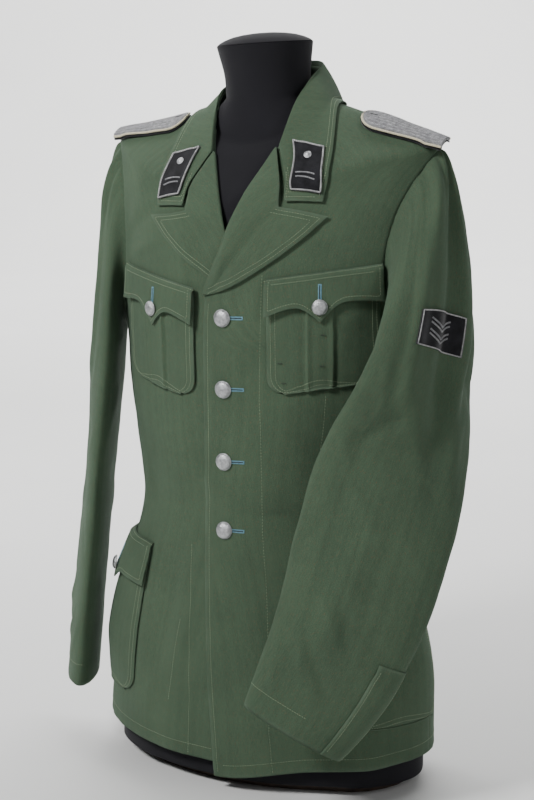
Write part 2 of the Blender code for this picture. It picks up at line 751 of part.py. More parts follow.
def sleeve_base(side, angle, row):
    if row >= 1.0:
        spot, way, _ = sleeve_ring(side, angle, row)
        fold = sleeve_fold(side, angle, row)
        return spot + way * fold
    turn, height = armhole_spot(side, angle)
    start = body(turn, height)
    middle = body(side * 90.0, (ARMPIT_H + TIP_H) / 2)
    inward = (middle - start)
    normal = body_normal(turn, height)
    inward = (inward - normal * inward.dot(normal)).normalized()
    start = start + inward * SEAM_GAP * 2.4
    end, way, run = sleeve_ring(side, angle, 1.0)
    reach = (end - start).length
    top = (1 + math.cos(math.radians(angle))) / 2
    leave = (normal * 0.4 + Vector((side, 0, -0.15))).normalized()
    first = start + leave * (0.006 + 0.016 * top)
    second = end - run * reach * 0.40
    share = row
    spot = (
        start * (1 - share) ** 3
        + first * 3 * share * (1 - share) ** 2
        + second * 3 * share**2 * (1 - share)
        + end * share**3
    )
    fold = sleeve_fold(side, angle, row)
    return spot + (way * 0.6 + normal * 0.4).normalized() * fold


def sleeve_fold(side, angle, row):
    total = 0.0
    for values in SLEEVE_FOLDS:
        fold = dict(zip(SLEEVE_FOLD_COLUMNS, values))
        if not fold["start"] < row < fold["end"]:
            continue
        share = (row - fold["start"]) / (fold["end"] - fold["start"])
        centre = fold["start_angle"] + (fold["end_angle"] - fold["start_angle"]) * share
        turn = (angle - centre + 180.0) % 360.0 - 180.0
        fade = ease(0.0, 0.12, share) * (1 - ease(0.55, 1.0, share))
        total += fold["depth"] * fade * bump(turn, fold["angle_width"])
    return total * (1.0 if side > 0 else 0.7)


def sleeve(side, angle, row, out=0.0):
    spot = sleeve_base(side, angle, row)
    if not out:
        return spot
    over = sleeve_base(side, angle + 2.0, row) - sleeve_base(side, angle - 2.0, row)
    low, high = max(row - 0.03, 0.0), min(row + 0.03, SLEEVE_END)
    down = sleeve_base(side, angle, high) - sleeve_base(side, angle, low)
    return spot + over.cross(down).normalized() * out * side


SLEEVE_RINGS = [0.0, 0.07, 0.16, 0.27, 0.4, 0.54, 0.68, 0.84, 1.0, 1.5, 2.0, 2.6, 3.2, 3.8, 4.5]
SLEEVE_RINGS += [5.2, 6.0, 6.8, 7.5, 8.2, SLEEVE_END]
PLACKET_ANGLES = [-90.0, -72.0, -54.0, -36.0]


def build_sleeves():
    for side, name in ((1, "left"), (-1, "right")):
        tube(
            "sleeve_" + name,
            lambda angle, row, depth: sleeve(side, angle, row, -depth),
            SLEEVE_RINGS,
            2 * ARMHOLE_STEPS,
            CLOTH_GREEN,
        )


# Dress form

def form_inset(height):
    deep = 0.0115 - 0.003 * ease(0.30, 0.50, height)
    shoulder = deep + (CLOTH + 0.0011 - deep) * ease(0.655, 0.712, height)
    return shoulder + 0.0045 * ease(0.750, NECK_H, height)


def neck_spot(angle, ring, wider=0.0):
    row = dict(zip(FORM_NECK_COLUMNS, ring))
    turn = math.radians(angle)
    across = (row["radius"] + wider) * math.sin(turn)
    along = (row["radius"] + wider) * math.cos(turn)
    rise = FORM_NECK_LEAN * across * ease(0.77, 0.82, row["z"])
    return Vector((row["centre_x"] + across, row["centre_y"] - along, row["z"] + rise))


def form_place(angle, ring):
    kind, level = ring
    if kind == "neck":
        return neck_spot(angle, level)
    if kind == "foot":
        spot = body(angle, 0.080, -form_inset(0.080))
        return Vector((spot.x, spot.y, level))
    return body(angle, level, -form_inset(level))


def build_form():
    foot = [("foot", FORM_BASE + SEAM_GAP), ("foot", 0.055)]
    levels = [0.10, 0.145, 0.19, 0.235, 0.28, 0.325, 0.37, 0.415, 0.46, 0.51, 0.555, 0.60, 0.64]
    levels += [0.675, TIP_H, 0.7200, 0.7320, 0.7410, LAPEL_TOP_H, 0.7575, NECK_H]
    rings = foot + [("body", level) for level in levels] + [("neck", ring) for ring in FORM_NECK]
    solid_of_rings("form_torso", form_place, rings, 32, FORM_CLOTH)
    top = FORM_NECK[-1]
    cap = [(0.0, 0.0120), (0.022, 0.0108), (0.040, 0.0070), (0.0505, 0.0022), (0.0526, 0.0), (0.0, 0.0)]
    spot = Vector((top[1], top[2], top[3] + SEAM_GAP))
    turned("form_neck_cap", cap, spot, (-FORM_NECK_LEAN, 0.0, 1.0), FORM_CLOTH, 28)

    def plate_place(angle, level):
        spot = body(angle, 0.080, -0.030)
        return Vector((spot.x, spot.y, level))

    solid_of_rings("form_foot_plate", plate_place, [0.0, FORM_BASE], 32, WOOD_DARK)


# Pockets and flaps

def corner_cut(distance, radius):
    """How far a rounded corner draws the edge in, at a distance from the end."""
    if distance >= radius:
        return 0.0
    return radius - math.sqrt(radius**2 - (radius - distance) ** 2)


def chest_spot(pocket, across, down):
    """(angle, height) on a chest pocket: across 0 to 1 from its inner edge, down in metres."""
    side, inner_x, outer_x, inner_z, outer_z, _ = pocket
    x = side * (inner_x + (outer_x - inner_x) * across)
    z = inner_z + (outer_z - inner_z) * across - down
    return on_front(x, z)


def flap_length(shape, across):
    """The length of a three-pointed flap at a place across it."""
    side, hollow, point = shape
    from_point = abs(across - 0.5) * 2
    if from_point < 0.45:
        return point + (hollow - point) * math.sin(math.pi / 2 * from_point / 0.45) ** 0.9
    return hollow + (side - hollow) * (1 - math.cos(math.pi / 2 * (from_point - 0.45) / 0.55))


def over_pocket(down):
    """How far a flap rises from the front it is sewn on, to pass over the pocket's top edge."""
    return (CLOTH + LAY_GAP + 0.0008) * min(1.0, max(0.0, down - FLAP_SEAM) / 0.005)


def build_chest_pocket(name, pocket):
    side, inner_x, outer_x, inner_z, outer_z, height = pocket
    width = outer_x - inner_x

    def place(across, down, depth):
        cut = corner_cut(height - down, POCKET_CORNER) / width
        spread = cut + (1 - 2 * cut) * across
        angle, level = chest_spot(pocket, spread, down)
        pleat = PLEAT_RISE * ease(PLEAT_HALF + 0.002, PLEAT_HALF, abs(spread - 0.5) * width)
        rise = 0.0016 * math.sin(math.pi * spread) * math.sin(math.pi * down / height)
        out = CLOTH + LAY_GAP + rise + pleat * (depth == 0.0)
        return body(angle, level, out - depth)

    inner, outer = 0.5 - PLEAT_HALF / width, 0.5 + PLEAT_HALF / width
    step = 0.0025 / width
    across = [0.0, 0.06, 0.2, inner - step, inner, 0.5, outer, outer + step, 0.8, 0.94, 1.0]
    down = [0.010, 0.040, 0.075, height - 0.03, height - 0.018, height - 0.0085]
    down += [height - 0.003, height]
    panel("chest_pocket_" + name, place, across, down, CLOTH_GREEN)

    def flap_place(across, share, depth):
        spread = -0.012 + 1.024 * across
        down = flap_length(CHEST_FLAP, across) * share
        angle, level = chest_spot(pocket, spread, down + FLAP_SEAM)
        return body(angle, level, flap_out(down, share) - depth)

    def flap_out(down, share):
        over = over_pocket(down + FLAP_SEAM) * 1.55
        return CLOTH + SEAM_GAP + over + 0.0034 * share**1.5

    rows = [0.0, 0.12, 0.3, 0.5, 0.75, 1.0]
    panel("chest_flap_" + name, flap_place, flap_columns(), rows, CLOTH_GREEN)
    down = CHEST_FLAP[2] - 0.014
    angle, level = chest_spot(pocket, 0.5, down)
    out = flap_out(down, down / CHEST_FLAP[2]) + 0.0008
    place_button("chest_button_" + name, angle, level, out, POCKET_BUTTON_RADIUS)


def flap_columns():
    return [0.0, 0.06, 0.16, 0.275, 0.38, 0.45, 0.5, 0.55, 0.62, 0.725, 0.84, 0.94, 1.0]


def hip_spot(side, across, down):
    angle = side * (HIP_FRONT_ANGLE + (HIP_REAR_ANGLE - HIP_FRONT_ANGLE) * across)
    return angle, height_at(angle, HIP_TOP_Z - down)


def build_hip_pocket(name, side):
    height = HIP_TOP_Z - HIP_BOTTOM_Z
    width = 0.155

    def swell(across, down):
        return HIP_BULGE * (math.sin(math.pi * across) * math.sin(math.pi * down / height)) ** 0.6

    def place(across, down, depth):
        cut = corner_cut(height - down, POCKET_CORNER) / width
        spread = cut + (1 - 2 * cut) * across
        angle, level = hip_spot(side, spread, down)
        inside = min(1.0, max(0.0, spread)), min(height, max(0.0, down))
        out = CLOTH + LAY_GAP * 1.4 + swell(*inside)
        return body(angle, level, out - depth)

    across = [0.0, 0.05, 0.14, 0.28, 0.42, 0.58, 0.72, 0.86, 0.95, 1.0]
    down = [0.010, 0.040, 0.080, 0.120, height - 0.03, height - 0.016, height - 0.007]
    down += [height - 0.002, height]
    panel("hip_pocket_" + name, place, across, down, CLOTH_GREEN)

    def flap_out(across, share):
        down = flap_length(HIP_FLAP, across) * share
        inside = min(1.0, max(0.0, across))
        bulge = swell(inside, down + FLAP_SEAM) * min(1.0, down / 0.006)
        return CLOTH + 0.0009 + over_pocket(down + FLAP_SEAM) + bulge + 0.0034 * share**1.5

    def flap_place(across, share, depth):
        spread = -0.015 + 1.03 * across
        down = flap_length(HIP_FLAP, across) * share
        angle, level = hip_spot(side, spread, down + FLAP_SEAM)
        return body(angle, level, flap_out(spread, share) - depth)

    rows = [0.0, 0.12, 0.28, 0.5, 0.75, 1.0]
    panel("hip_flap_" + name, flap_place, flap_columns(), rows, CLOTH_GREEN)
    share = (HIP_FLAP[2] - 0.018) / HIP_FLAP[2]
    angle, level = hip_spot(side, 0.5, HIP_FLAP[2] - 0.014)
    out = flap_out(0.5, share) + 0.0018
    place_button("hip_button_" + name, angle, level, out, POCKET_BUTTON_RADIUS)


# Buttons

def place_button(name, angle, height, out, radius):
    """A domed button whose flat back lies just clear of the cloth."""
    spot = body(angle, height, out + BUTTON_GAP)
    tall = radius * 0.50
    profile = [(0.0, tall), (radius * 0.5, tall * 0.88), (radius * 0.85, tall * 0.55)]
    profile += [(radius, tall * 0.22), (radius * 0.96, 0.0), (0.0, 0.0)]
    return turned(name, profile, spot, body_normal(angle, height), ALLOY_GREY, 12)


def build_front_buttons():
    for number, z in enumerate(BUTTON_HEIGHTS, start=1):
        angle, height = on_front(BUTTON_X, z)
        place_button(f"front_button_{number}", angle, height, 0.0, BUTTON_RADIUS)


# Shoulder straps and badges

def shoulder_top(side, x, y):
    """The point of the shoulder's surface at a distance x from the centre line, and at y."""
    low, high = TIP_H - 0.010, NECK_H + 0.004
    for _ in range(30):
        height = (low + high) / 2
        row = BODY.read(height)
        reach = row["front_y"] if y < row["side_y"] else row["back_y"]
        share = (y - row["side_y"]) / (reach - row["side_y"])
        angle = math.degrees(math.acos(min(1.0, max(0.0, share))))
        angle = side * (angle if y < row["side_y"] else 180.0 - angle)
        if side * body_base(angle, height).x > x:
            low = height
        else:
            high = height
    return body_base(angle, height)


def strap_half(side, along, trim):
    """Half the strap's width, along 0 at the sleeve end and 1 at its rounded inner end."""
    inner, outer = STRAP_ENDS[side]
    left = (1 - along) * (outer[0] - inner[0]) - trim
    half = STRAP_HALF - trim
    return max(0.0006, half - corner_cut(left, half * 0.99))


def strap_surface(side, along, across, trim, out):
    x, y = mix(STRAP_ENDS[side][1], STRAP_ENDS[side][0], along)
    half = strap_half(side, along, trim)
    far = 0.186
    level = min(x, far)
    front = shoulder_top(side, level, y - STRAP_HALF)
    back = shoulder_top(side, level, y + STRAP_HALF)
    flat = front.lerp(back, 0.5 + 0.5 * across * half / STRAP_HALF)
    spot = shoulder_top(side, level, y + half * across).lerp(flat, 0.1)
    slope = shoulder_top(side, far, y) - shoulder_top(side, far - 0.025, y)
    spot += slope * max(0.0, x - far) / 0.025
    inner, middle, outer = STRAP_LIFT
    rise = inner + (middle - inner) * ease(1.0, 0.8, along) if along > 0.5 else middle
    rise += (outer - middle) * ease(0.55, 0.0, along) if along < 0.5 else 0.0
    normal = Vector((side * 0.32, -0.22, 0.92)).normalized()
    return spot + normal * (out + rise + 0.0007)


def build_straps():
    along = [0.0, 0.12, 0.3, 0.5, 0.68, 0.80, 0.88, 0.93, 0.965, 0.988]
    across = [-1.0, -0.5, 0.0, 0.5, 1.0]
    for side, name in ((1, "left"), (-1, "right")):
        panel(
            "strap_base_" + name,
            lambda a, b, depth: strap_surface(side, b, a, 0.0, STRAP_BASE - depth),
            across, along, BADGE_BLACK, STRAP_BASE,
        )
        top = STRAP_BASE + SEAM_GAP * 1.5 + STRAP_BRAID
        panel(
            "strap_braid_" + name,
            lambda a, b, depth: strap_surface(side, b * 0.984, a, 0.0016, top - depth),
            across, along, BRAID, STRAP_BRAID,
        )

        def loop_place(a, b, depth):
            spot = shoulder_top(side, 0.168 + 0.010 * b, 0.009 + 0.017 * a)
            return spot + Vector((side * 0.32, -0.22, 0.92)).normalized() * (0.0012 - depth)

        panel("strap_loop_" + name, loop_place, [-1.0, -0.5, 0.0, 0.5, 1.0], [0.0, 1.0], CLOTH_GREEN, 0.0008)


def build_badges():
    def tab_place(side):
        def place(across, down, depth):
            corners = TAB_CORNERS
            inner = mix(corners[0], corners[3], down)
            outer = mix(corners[1], corners[2], down)
            turn, share = mix(inner, outer, across)
            return fall(turn, share, side, LAY_GAP * 2 + 0.0016 - depth)

        return place

    steps = [0.0, 0.17, 0.33, 0.5, 0.67, 0.83, 1.0]
    panel("collar_tab_left", tab_place(1), steps, steps, BADGE_BLACK, 0.0016)
    panel("collar_tab_right", tab_place(-1), steps, steps, BADGE_BLACK, 0.0016)

    def patch_place(across, down, depth):
        return sleeve(1, 36.0 - 54.0 * across, 0.80 + 0.14 * down, 0.0007 + 0.0012 - depth)

    across = [0.0, 1 / 6, 1 / 3, 1 / 2, 2 / 3, 5 / 6, 1.0]
    panel("sleeve_patch", patch_place, across, [0.0, 0.2857, 0.64, 1.0], BADGE_BLACK, 0.0012)


def build_plackets():
    for side, name in ((1, "left"), (-1, "right")):
        def place(across, along, depth):
            return sleeve(side, across, along, LAY_GAP + CLOTH - depth)

        panel("cuff_placket_" + name, place, PLACKET_ANGLES, SLEEVE_RINGS[-4:], CLOTH_GREEN)


start_clean()
PARTS = bpy.data.collections.new("military_jacket")
bpy.context.scene.collection.children.link(PARTS)
CLOTH_GREEN = new_material("cloth_green", GREEN, 0.9)
BADGE_BLACK = new_material("badge_black", DARK, 0.95)
ALLOY_GREY = new_material("alloy_grey", ALLOY, 0.4, 0.8)
BRAID = new_material("silver_braid", SILVER, 0.6, 0.3)
FORM_CLOTH = new_material("form_charcoal", CHARCOAL, 0.9)
WOOD_DARK = new_material("foot_wood", WOOD, 0.6)

build_form()
build_body()
build_lapels()
build_collar()
build_sleeves()
for pocket_name, pocket_sizes in CHEST_POCKETS.items():
    build_chest_pocket(pocket_name, pocket_sizes)
build_hip_pocket("left", 1)
build_hip_pocket("right", -1)
build_front_buttons()
build_straps()
build_badges()
build_plackets()
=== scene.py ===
# %% [markdown]
# A military jacket on a limbless dress form.

# %% The frame
import math

import bmesh
import bpy
from mathutils import Matrix, Vector, noise
from mathutils.bvhtree import BVHTree


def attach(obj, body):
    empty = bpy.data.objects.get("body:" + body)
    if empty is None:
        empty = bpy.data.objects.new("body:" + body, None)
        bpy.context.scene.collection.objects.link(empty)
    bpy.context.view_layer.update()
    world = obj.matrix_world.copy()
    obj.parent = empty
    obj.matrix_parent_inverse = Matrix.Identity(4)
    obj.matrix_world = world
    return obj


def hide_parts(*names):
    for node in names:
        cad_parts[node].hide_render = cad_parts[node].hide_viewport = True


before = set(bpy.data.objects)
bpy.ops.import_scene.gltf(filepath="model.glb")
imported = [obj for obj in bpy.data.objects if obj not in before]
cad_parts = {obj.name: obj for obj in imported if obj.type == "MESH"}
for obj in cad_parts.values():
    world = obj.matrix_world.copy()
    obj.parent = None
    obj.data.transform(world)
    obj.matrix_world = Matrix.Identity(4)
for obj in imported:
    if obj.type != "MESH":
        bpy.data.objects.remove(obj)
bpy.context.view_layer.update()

print("solids in the frame:", len(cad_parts))

# %% [markdown]
# The camera comes first, because all detail is judged through it. It stands 2.1 m from the
# jacket, 27 degrees round to the jacket's left, at chest height and tipped 11 degrees down. A
# long lens of 85 mm keeps the shoulders and the hem in true proportion.

# %% The camera
VIEW_TURN = math.radians(27.0)
VIEW_TIP = math.radians(10.94)
VIEW_DISTANCE = 2.1
VIEW_HEIGHT = 0.834
BACK = Vector((math.sin(VIEW_TURN), -math.cos(VIEW_TURN), 0.0))
ACROSS = Vector((math.cos(VIEW_TURN), math.sin(VIEW_TURN), 0.0))
lens = bpy.data.cameras.new("camera")
lens.lens = 84.6
lens.sensor_width = 36.0
camera = bpy.data.objects.new("camera", lens)
bpy.context.scene.collection.objects.link(camera)
camera.location = BACK * VIEW_DISTANCE - ACROSS * 0.002 + Vector((0.0, 0.0, VIEW_HEIGHT))
look = -BACK * math.cos(VIEW_TIP) - Vector((0.0, 0.0, math.sin(VIEW_TIP)))
camera.rotation_mode = "QUATERNION"
camera.rotation_quaternion = look.to_track_quat("-Z", "Y")
bpy.context.scene.camera = camera
print("camera stands at", [round(v, 3) for v in camera.location])

# %% [markdown]
# A garment is one soft surface cut into panels. The same tables of sections that shaped the
# solids shape the cloth here: named columns, read smoothly between their rows, and never
# swinging past a value. A table keeps what it has read, because thousands of points share a
# height and reading is the slow part.

# %% Sizes of the cloth and smooth tables
CLOTH = 0.0015
SEAM_GAP = 0.00035
LAY_GAP = 0.0006
HEM_H = 0.042
ARMPIT_H = 0.512
TIP_H = 0.708
NECK_H = 0.765
LAPEL_TOP_H = 0.750
BREAK_H = 0.572


def slopes_of(places, values):
    """Slopes of a smooth curve through the values that never swings past them."""
    steps = [b - a for a, b in zip(places, places[1:])]
    rates = [(b - a) / step for a, b, step in zip(values, values[1:], steps)]
    found = [rates[0]]
    for before, after, short, long in zip(rates, rates[1:], steps, steps[1:]):
        if before * after <= 0:
            found.append(0.0)
            continue
        first = 2 * long + short
        second = long + 2 * short
        found.append((first + second) / (first / before + second / after))
    return found + [rates[-1]]


class Table:
    """Named columns, read smoothly between the rows by the first column."""

    def __init__(self, columns, rows):
        rows = sorted(rows)
        self.places = [row[0] for row in rows]
        self.columns = {}
        self.kept = {}
        for index, name in enumerate(columns[1:], start=1):
            values = [row[index] for row in rows]
            self.columns[name] = (values, slopes_of(self.places, values))

    def read(self, at):
        if at not in self.kept:
            self.kept[at] = self.found(at)
        return self.kept[at]

    def found(self, at):
        last = len(self.places) - 2
        index = next((i for i in range(last + 1) if at <= self.places[i + 1]), last)
        step = self.places[index + 1] - self.places[index]
        share = (at - self.places[index]) / step
        found = {}
        for name, (values, slopes) in self.columns.items():
            low, high = values[index], values[index + 1]
            if share < 0:
                found[name] = low + slopes[index] * share * step
                continue
            if share > 1:
                found[name] = high + slopes[index + 1] * (share - 1) * step
                continue
            ease = share * share * (3 - 2 * share)
            early = share * (1 - share) ** 2 * slopes[index]
            late = share * share * (share - 1) * slopes[index + 1]
            found[name] = low + (high - low) * ease + (early + late) * step
        return found


def bump(distance, width):
    return math.exp(-((distance / width) ** 2))


def ease(low, high, value):
    share = min(1.0, max(0.0, (value - low) / (high - low)))
    return share * share * (3 - 2 * share)


def mix(first, second, share):
    return tuple(a + (b - a) * share for a, b in zip(first, second))

# %% [markdown]
# The body of the jacket is read by an angle round the figure (0 at the front centre, 90 at the
# jacket's left side, 180 at the back) and a height. Its broad folds are the solids' own. The
# creases are finer: each is a line through two places with a width and a depth, the way a
# cloth buckles between a pull and a rest.

# %% Sections, folds and creases of the body
BODY_COLUMNS = (
    "side_h", "half_width", "front_y", "side_y", "back_y", "front_z", "back_z", "power",
    "across", "side_z",
)
BODY_SECTIONS = (
    (0.042, 0.203, -0.117, 0.002, 0.120, 0.032, 0.046, 1.00, 0.000, 0.000),
    (0.130, 0.199, -0.115, 0.002, 0.120, 0.127, 0.132, 1.00, 0.000, 0.000),
    (0.220, 0.179, -0.109, 0.000, 0.108, 0.220, 0.220, 1.00, 0.000, 0.000),
    (0.325, 0.151, -0.105, -0.002, 0.096, 0.325, 0.325, 1.03, 0.000, 0.000),
    (0.430, 0.171, -0.106, 0.000, 0.106, 0.428, 0.430, 1.10, 0.000, 0.000),
    (0.512, 0.180, -0.108, 0.003, 0.114, 0.507, 0.513, 1.14, 0.000, 0.000),
    (0.575, 0.187, -0.109, 0.006, 0.116, 0.562, 0.578, 1.16, 0.000, 0.001),
    (0.640, 0.194, -0.105, 0.010, 0.113, 0.614, 0.643, 1.22, 0.000, 0.004),
    (0.708, 0.199, -0.089, 0.016, 0.102, 0.665, 0.700, 1.32, 0.000, 0.009),
    (0.733, 0.157, -0.070, 0.014, 0.090, 0.692, 0.728, 1.25, -0.001, 0.002),
    (0.750, 0.113, -0.055, 0.012, 0.081, 0.712, 0.741, 1.12, -0.002, -0.003),
    (0.765, 0.075, -0.043, 0.010, 0.072, 0.728, 0.752, 1.00, -0.004, -0.006),
)
SIDE_RISE = 2.2
LEAN_Z = 0.0060
LEAN_SPAN = 0.200
# Columns: angle, height, angle_width, height_width, depth, lean.
BODY_FOLDS = (
    (-26.0, 0.200, 7.0, 0.090, -0.0045, 20.0),
    (-48.0, 0.330, 9.0, 0.050, -0.0030, 40.0),
    (30.0, 0.060, 10.0, 0.050, -0.0040, 0.0),
    (52.0, 0.045, 9.0, 0.050, 0.0045, 0.0),
    (-78.0, 0.350, 9.0, 0.060, 0.0035, 0.0),
    (75.0, 0.350, 9.0, 0.060, 0.0035, 0.0),
    (122.0, 0.140, 10.0, 0.140, 0.0060, 6.0),
    (146.0, 0.120, 9.0, 0.130, -0.0050, 4.0),
    (168.0, 0.150, 9.0, 0.150, 0.0055, 0.0),
    (-124.0, 0.130, 10.0, 0.130, 0.0060, -6.0),
    (-150.0, 0.140, 9.0, 0.140, -0.0050, -4.0),
    (150.0, 0.340, 14.0, 0.035, -0.0035, 60.0),
    (-145.0, 0.350, 14.0, 0.035, -0.0035, -60.0),
    (118.0, 0.560, 8.0, 0.090, 0.0040, -10.0),
    (-118.0, 0.560, 8.0, 0.090, 0.0040, 10.0),
)
# Columns: angle, height, to_angle, to_height, width, depth.
BODY_CREASES = (
    (-6.0, 0.352, -30.0, 0.372, 0.0060, 0.0012),
    (-10.0, 0.330, -42.0, 0.318, 0.0075, -0.0014),
    (-14.0, 0.415, -36.0, 0.395, 0.0060, 0.0010),
    (-20.0, 0.285, -44.0, 0.262, 0.0075, 0.0013),
    (6.0, 0.505, 14.0, 0.478, 0.0055, -0.0008),
    (4.0, 0.440, 20.0, 0.415, 0.0060, -0.0008),
    (3.0, 0.352, 26.0, 0.330, 0.0070, 0.0012),
    (8.0, 0.318, 30.0, 0.322, 0.0060, -0.0010),
    (5.0, 0.262, 27.0, 0.240, 0.0080, -0.0013),
    (12.0, 0.200, 30.0, 0.150, 0.0090, 0.0014),
    (30.0, 0.560, 50.0, 0.520, 0.0080, -0.0012),
    (34.0, 0.650, 52.0, 0.610, 0.0080, 0.0016),
    (24.0, 0.700, 40.0, 0.640, 0.0090, -0.0014),
    (30.0, 0.700, 62.0, 0.640, 0.0070, 0.0012),
    (-32.0, 0.690, -54.0, 0.620, 0.0080, -0.0014),
    (-30.0, 0.640, -50.0, 0.600, 0.0070, 0.0012),
    (40.0, 0.120, 70.0, 0.075, 0.0080, 0.0012),
    (28.0, 0.110, 46.0, 0.060, 0.0080, -0.0012),
    (-20.0, 0.160, -34.0, 0.080, 0.0090, 0.0014),
    (-8.0, 0.200, -18.0, 0.120, 0.0080, -0.0012),
    (110.0, 0.520, 140.0, 0.470, 0.0090, 0.0016),
    (104.0, 0.480, 136.0, 0.420, 0.0090, -0.0014),
    (-108.0, 0.520, -142.0, 0.460, 0.0090, 0.0016),
    (-104.0, 0.470, -134.0, 0.425, 0.0090, -0.0014),
    (130.0, 0.365, 176.0, 0.345, 0.0075, 0.0016),
    (-128.0, 0.372, -176.0, 0.340, 0.0075, 0.0014),
    (140.0, 0.320, 186.0, 0.330, 0.0075, -0.0014),
    (-146.0, 0.312, -182.0, 0.318, 0.0075, -0.0012),
    (150.0, 0.690, 176.0, 0.650, 0.0110, -0.0014),
    (-150.0, 0.690, -176.0, 0.650, 0.0110, -0.0014),
    (118.0, 0.650, 150.0, 0.600, 0.0110, 0.0016),
    (-118.0, 0.650, -150.0, 0.600, 0.0110, 0.0016),
)
# One degree of the body is about this much cloth, for a crease's width across the figure.
DEGREE = 0.0027
UNEVEN = ((0.060, 0.0011), (0.026, 0.0006))


def line_fold(a, b, row, scale):
    """The depth at (a, b) of a crease through two places, fading at both ends."""
    start_a, start_b, end_a, end_b, width, depth = row
    run_a, run_b = (end_a - start_a) * scale, end_b - start_b
    off_a, off_b = (a - start_a) * scale, b - start_b
    long = math.hypot(run_a, run_b)
    along = (off_a * run_a + off_b * run_b) / long
    if not -0.3 * long < along < 1.3 * long:
        return 0.0
    side = (off_a * run_b - off_b * run_a) / long
    if abs(side) > 2.6 * width:
        return 0.0
    fade = ease(-0.3, 0.25, along / long) * (1 - ease(0.75, 1.3, along / long))
    return depth * fade * bump(side, width)


def unevenness(spot):
    """Cloth is nowhere quite even: two sizes of gentle unevenness, in metres."""
    return sum(depth * noise.noise(spot / size) for size, depth in UNEVEN)


def crease_reach(row):
    return 0.3 * abs(row[3] - row[1]) + 2.6 * row[4] + 0.01


def near_height(height):
    """The folds and creases that touch a height, found once for each centimetre."""
    key = int(height * 100)
    if key not in NEAR_HEIGHT:
        folds = [row for row in BODY_FOLDS if abs(height - row[1]) < 2.6 * row[3] + 0.01]
        creases = [
            row for row in BODY_CREASES
            if min(row[1], row[3]) - crease_reach(row) < height < max(row[1], row[3]) + crease_reach(row)
        ]
        NEAR_HEIGHT[key] = (folds, creases)
    return NEAR_HEIGHT[key]


NEAR_HEIGHT = {}


def body_fold(angle, height):
    total = 0.0
    folds, creases = near_height(height)
    for centre, level, wide, tall, depth, slant in folds:
        turn = (angle - centre - slant * (height - level) + 180.0) % 360.0 - 180.0
        if abs(turn) < 2.6 * wide:
            total += depth * bump(turn, wide) * bump(height - level, tall)
    turned_angle = (angle + 180.0) % 360.0 - 180.0
    for row in creases:
        at = angle if abs(row[0] + row[2]) > 360.0 else turned_angle
        total += line_fold(at, height, row, DEGREE)
    return total


def lean(x):
    return LEAN_Z * math.sin(math.pi * min(1.0, abs(x) / LEAN_SPAN)) * (1 if x > 0 else -1)


def body_base(angle, height):
    """A point of the jacket's outer surface."""
    row = BODY.read(height)
    sine, cosine = math.sin(math.radians(angle)), math.cos(math.radians(angle))
    across = math.copysign(abs(sine) ** row["power"], sine)
    along = abs(cosine) ** row["power"]
    reach = row["front_y"] if cosine > 0 else row["back_y"]
    level = row["front_z"] if cosine > 0 else row["back_z"]
    x = row["half_width"] * across
    side_z = height + row["side_z"]
    fold = body_fold(angle, height)
    fold += unevenness(Vector((x, cosine * 0.15, height))) * (1 - ease(0.70, 0.74, height))
    return Vector(
        (
            x + row["across"] + sine * fold,
            row["side_y"] + (reach - row["side_y"]) * along - cosine * fold,
            level + (side_z - level) * abs(sine) ** SIDE_RISE + lean(x) * ease(0.60, 0.70, height),
        )
    )


def body_normal(angle, height):
    round_step, rise_step = 0.6, 0.0012
    over = body_base(angle + round_step, height) - body_base(angle - round_step, height)
    up = body_base(angle, height + rise_step) - body_base(angle, height - rise_step)
    return over.cross(up).normalized()


def body(angle, height, out=0.0):
    """A point of the jacket's outer surface, moved out along its normal."""
    place = body_base(angle, height)
    return place + body_normal(angle, height) * out if out else place


BODY = Table(BODY_COLUMNS, BODY_SECTIONS)


def angle_at(x, height):
    row = BODY.read(height)
    share = min(1.0, abs(x) / row["half_width"])
    return math.copysign(math.degrees(math.asin(share ** (1 / row["power"]))), x)


def height_at(angle, z):
    height = z
    for _ in range(8):
        height += z - body_base(angle, height).z
    return height


def on_front(x, z):
    """(angle, height) of the point of the fronts that stands at x and z."""
    height = z
    for _ in range(10):
        angle = angle_at(x, height)
        height += z - body_base(angle, height).z
    return angle_at(x, height), height


def clear_of_body(spot, gap):
    """The spot, moved out where it stands less than gap above the jacket's surface."""
    height = min(NECK_H, max(0.60, spot.z))
    angle = math.degrees(math.atan2(spot.x, NECK_CENTRE[1] - spot.y))
    for _ in range(30):
        place = body_base(angle, height)
        over = (body_base(angle + 0.5, height) - place) / 0.5
        up = (body_base(angle, height + 0.001) - place) / 0.001
        away = spot - place
        a, b, c = over.dot(over), over.dot(up), up.dot(up)
        d, e = over.dot(away), up.dot(away)
        spread = a * c - b * b
        turn_by = max(-4.0, min(4.0, (d * c - e * b) / spread))
        rise_by = max(-0.006, min(0.006, (a * e - b * d) / spread))
        angle += turn_by
        height = min(NECK_H + 0.03, max(0.50, height + rise_by))
        if abs(turn_by) < 0.01 and abs(rise_by) < 0.00002:
            break
    normal = body_normal(angle, height)
    short = gap - (spot - body_base(angle, height)).dot(normal)
    soft = 0.0006
    push = soft * math.log1p(math.exp(max(-30.0, min(30.0, short / soft))))
    return spot + normal * push * (1 - ease(NECK_H - 0.004, NECK_H + 0.010, height))


print("waist, half across:", round(BODY.read(0.325)["half_width"], 3), "m")

# %% [markdown]
# Each finish is a set of nodes. A small helper adds a node, sets its plain values and links
# what is handed to it, so that a finish reads from the first texture down to the shader.

# %% A helper for finishes


def add(tree, kind, inputs=None, **settings):
    made = tree.nodes.new(kind)
    for key, value in settings.items():
        setattr(made, key, value)
    for key, value in (inputs or {}).items():
        if isinstance(value, bpy.types.NodeSocket):
            tree.links.new(value, made.inputs[key])
        else:
            made.inputs[key].default_value = value
    return made


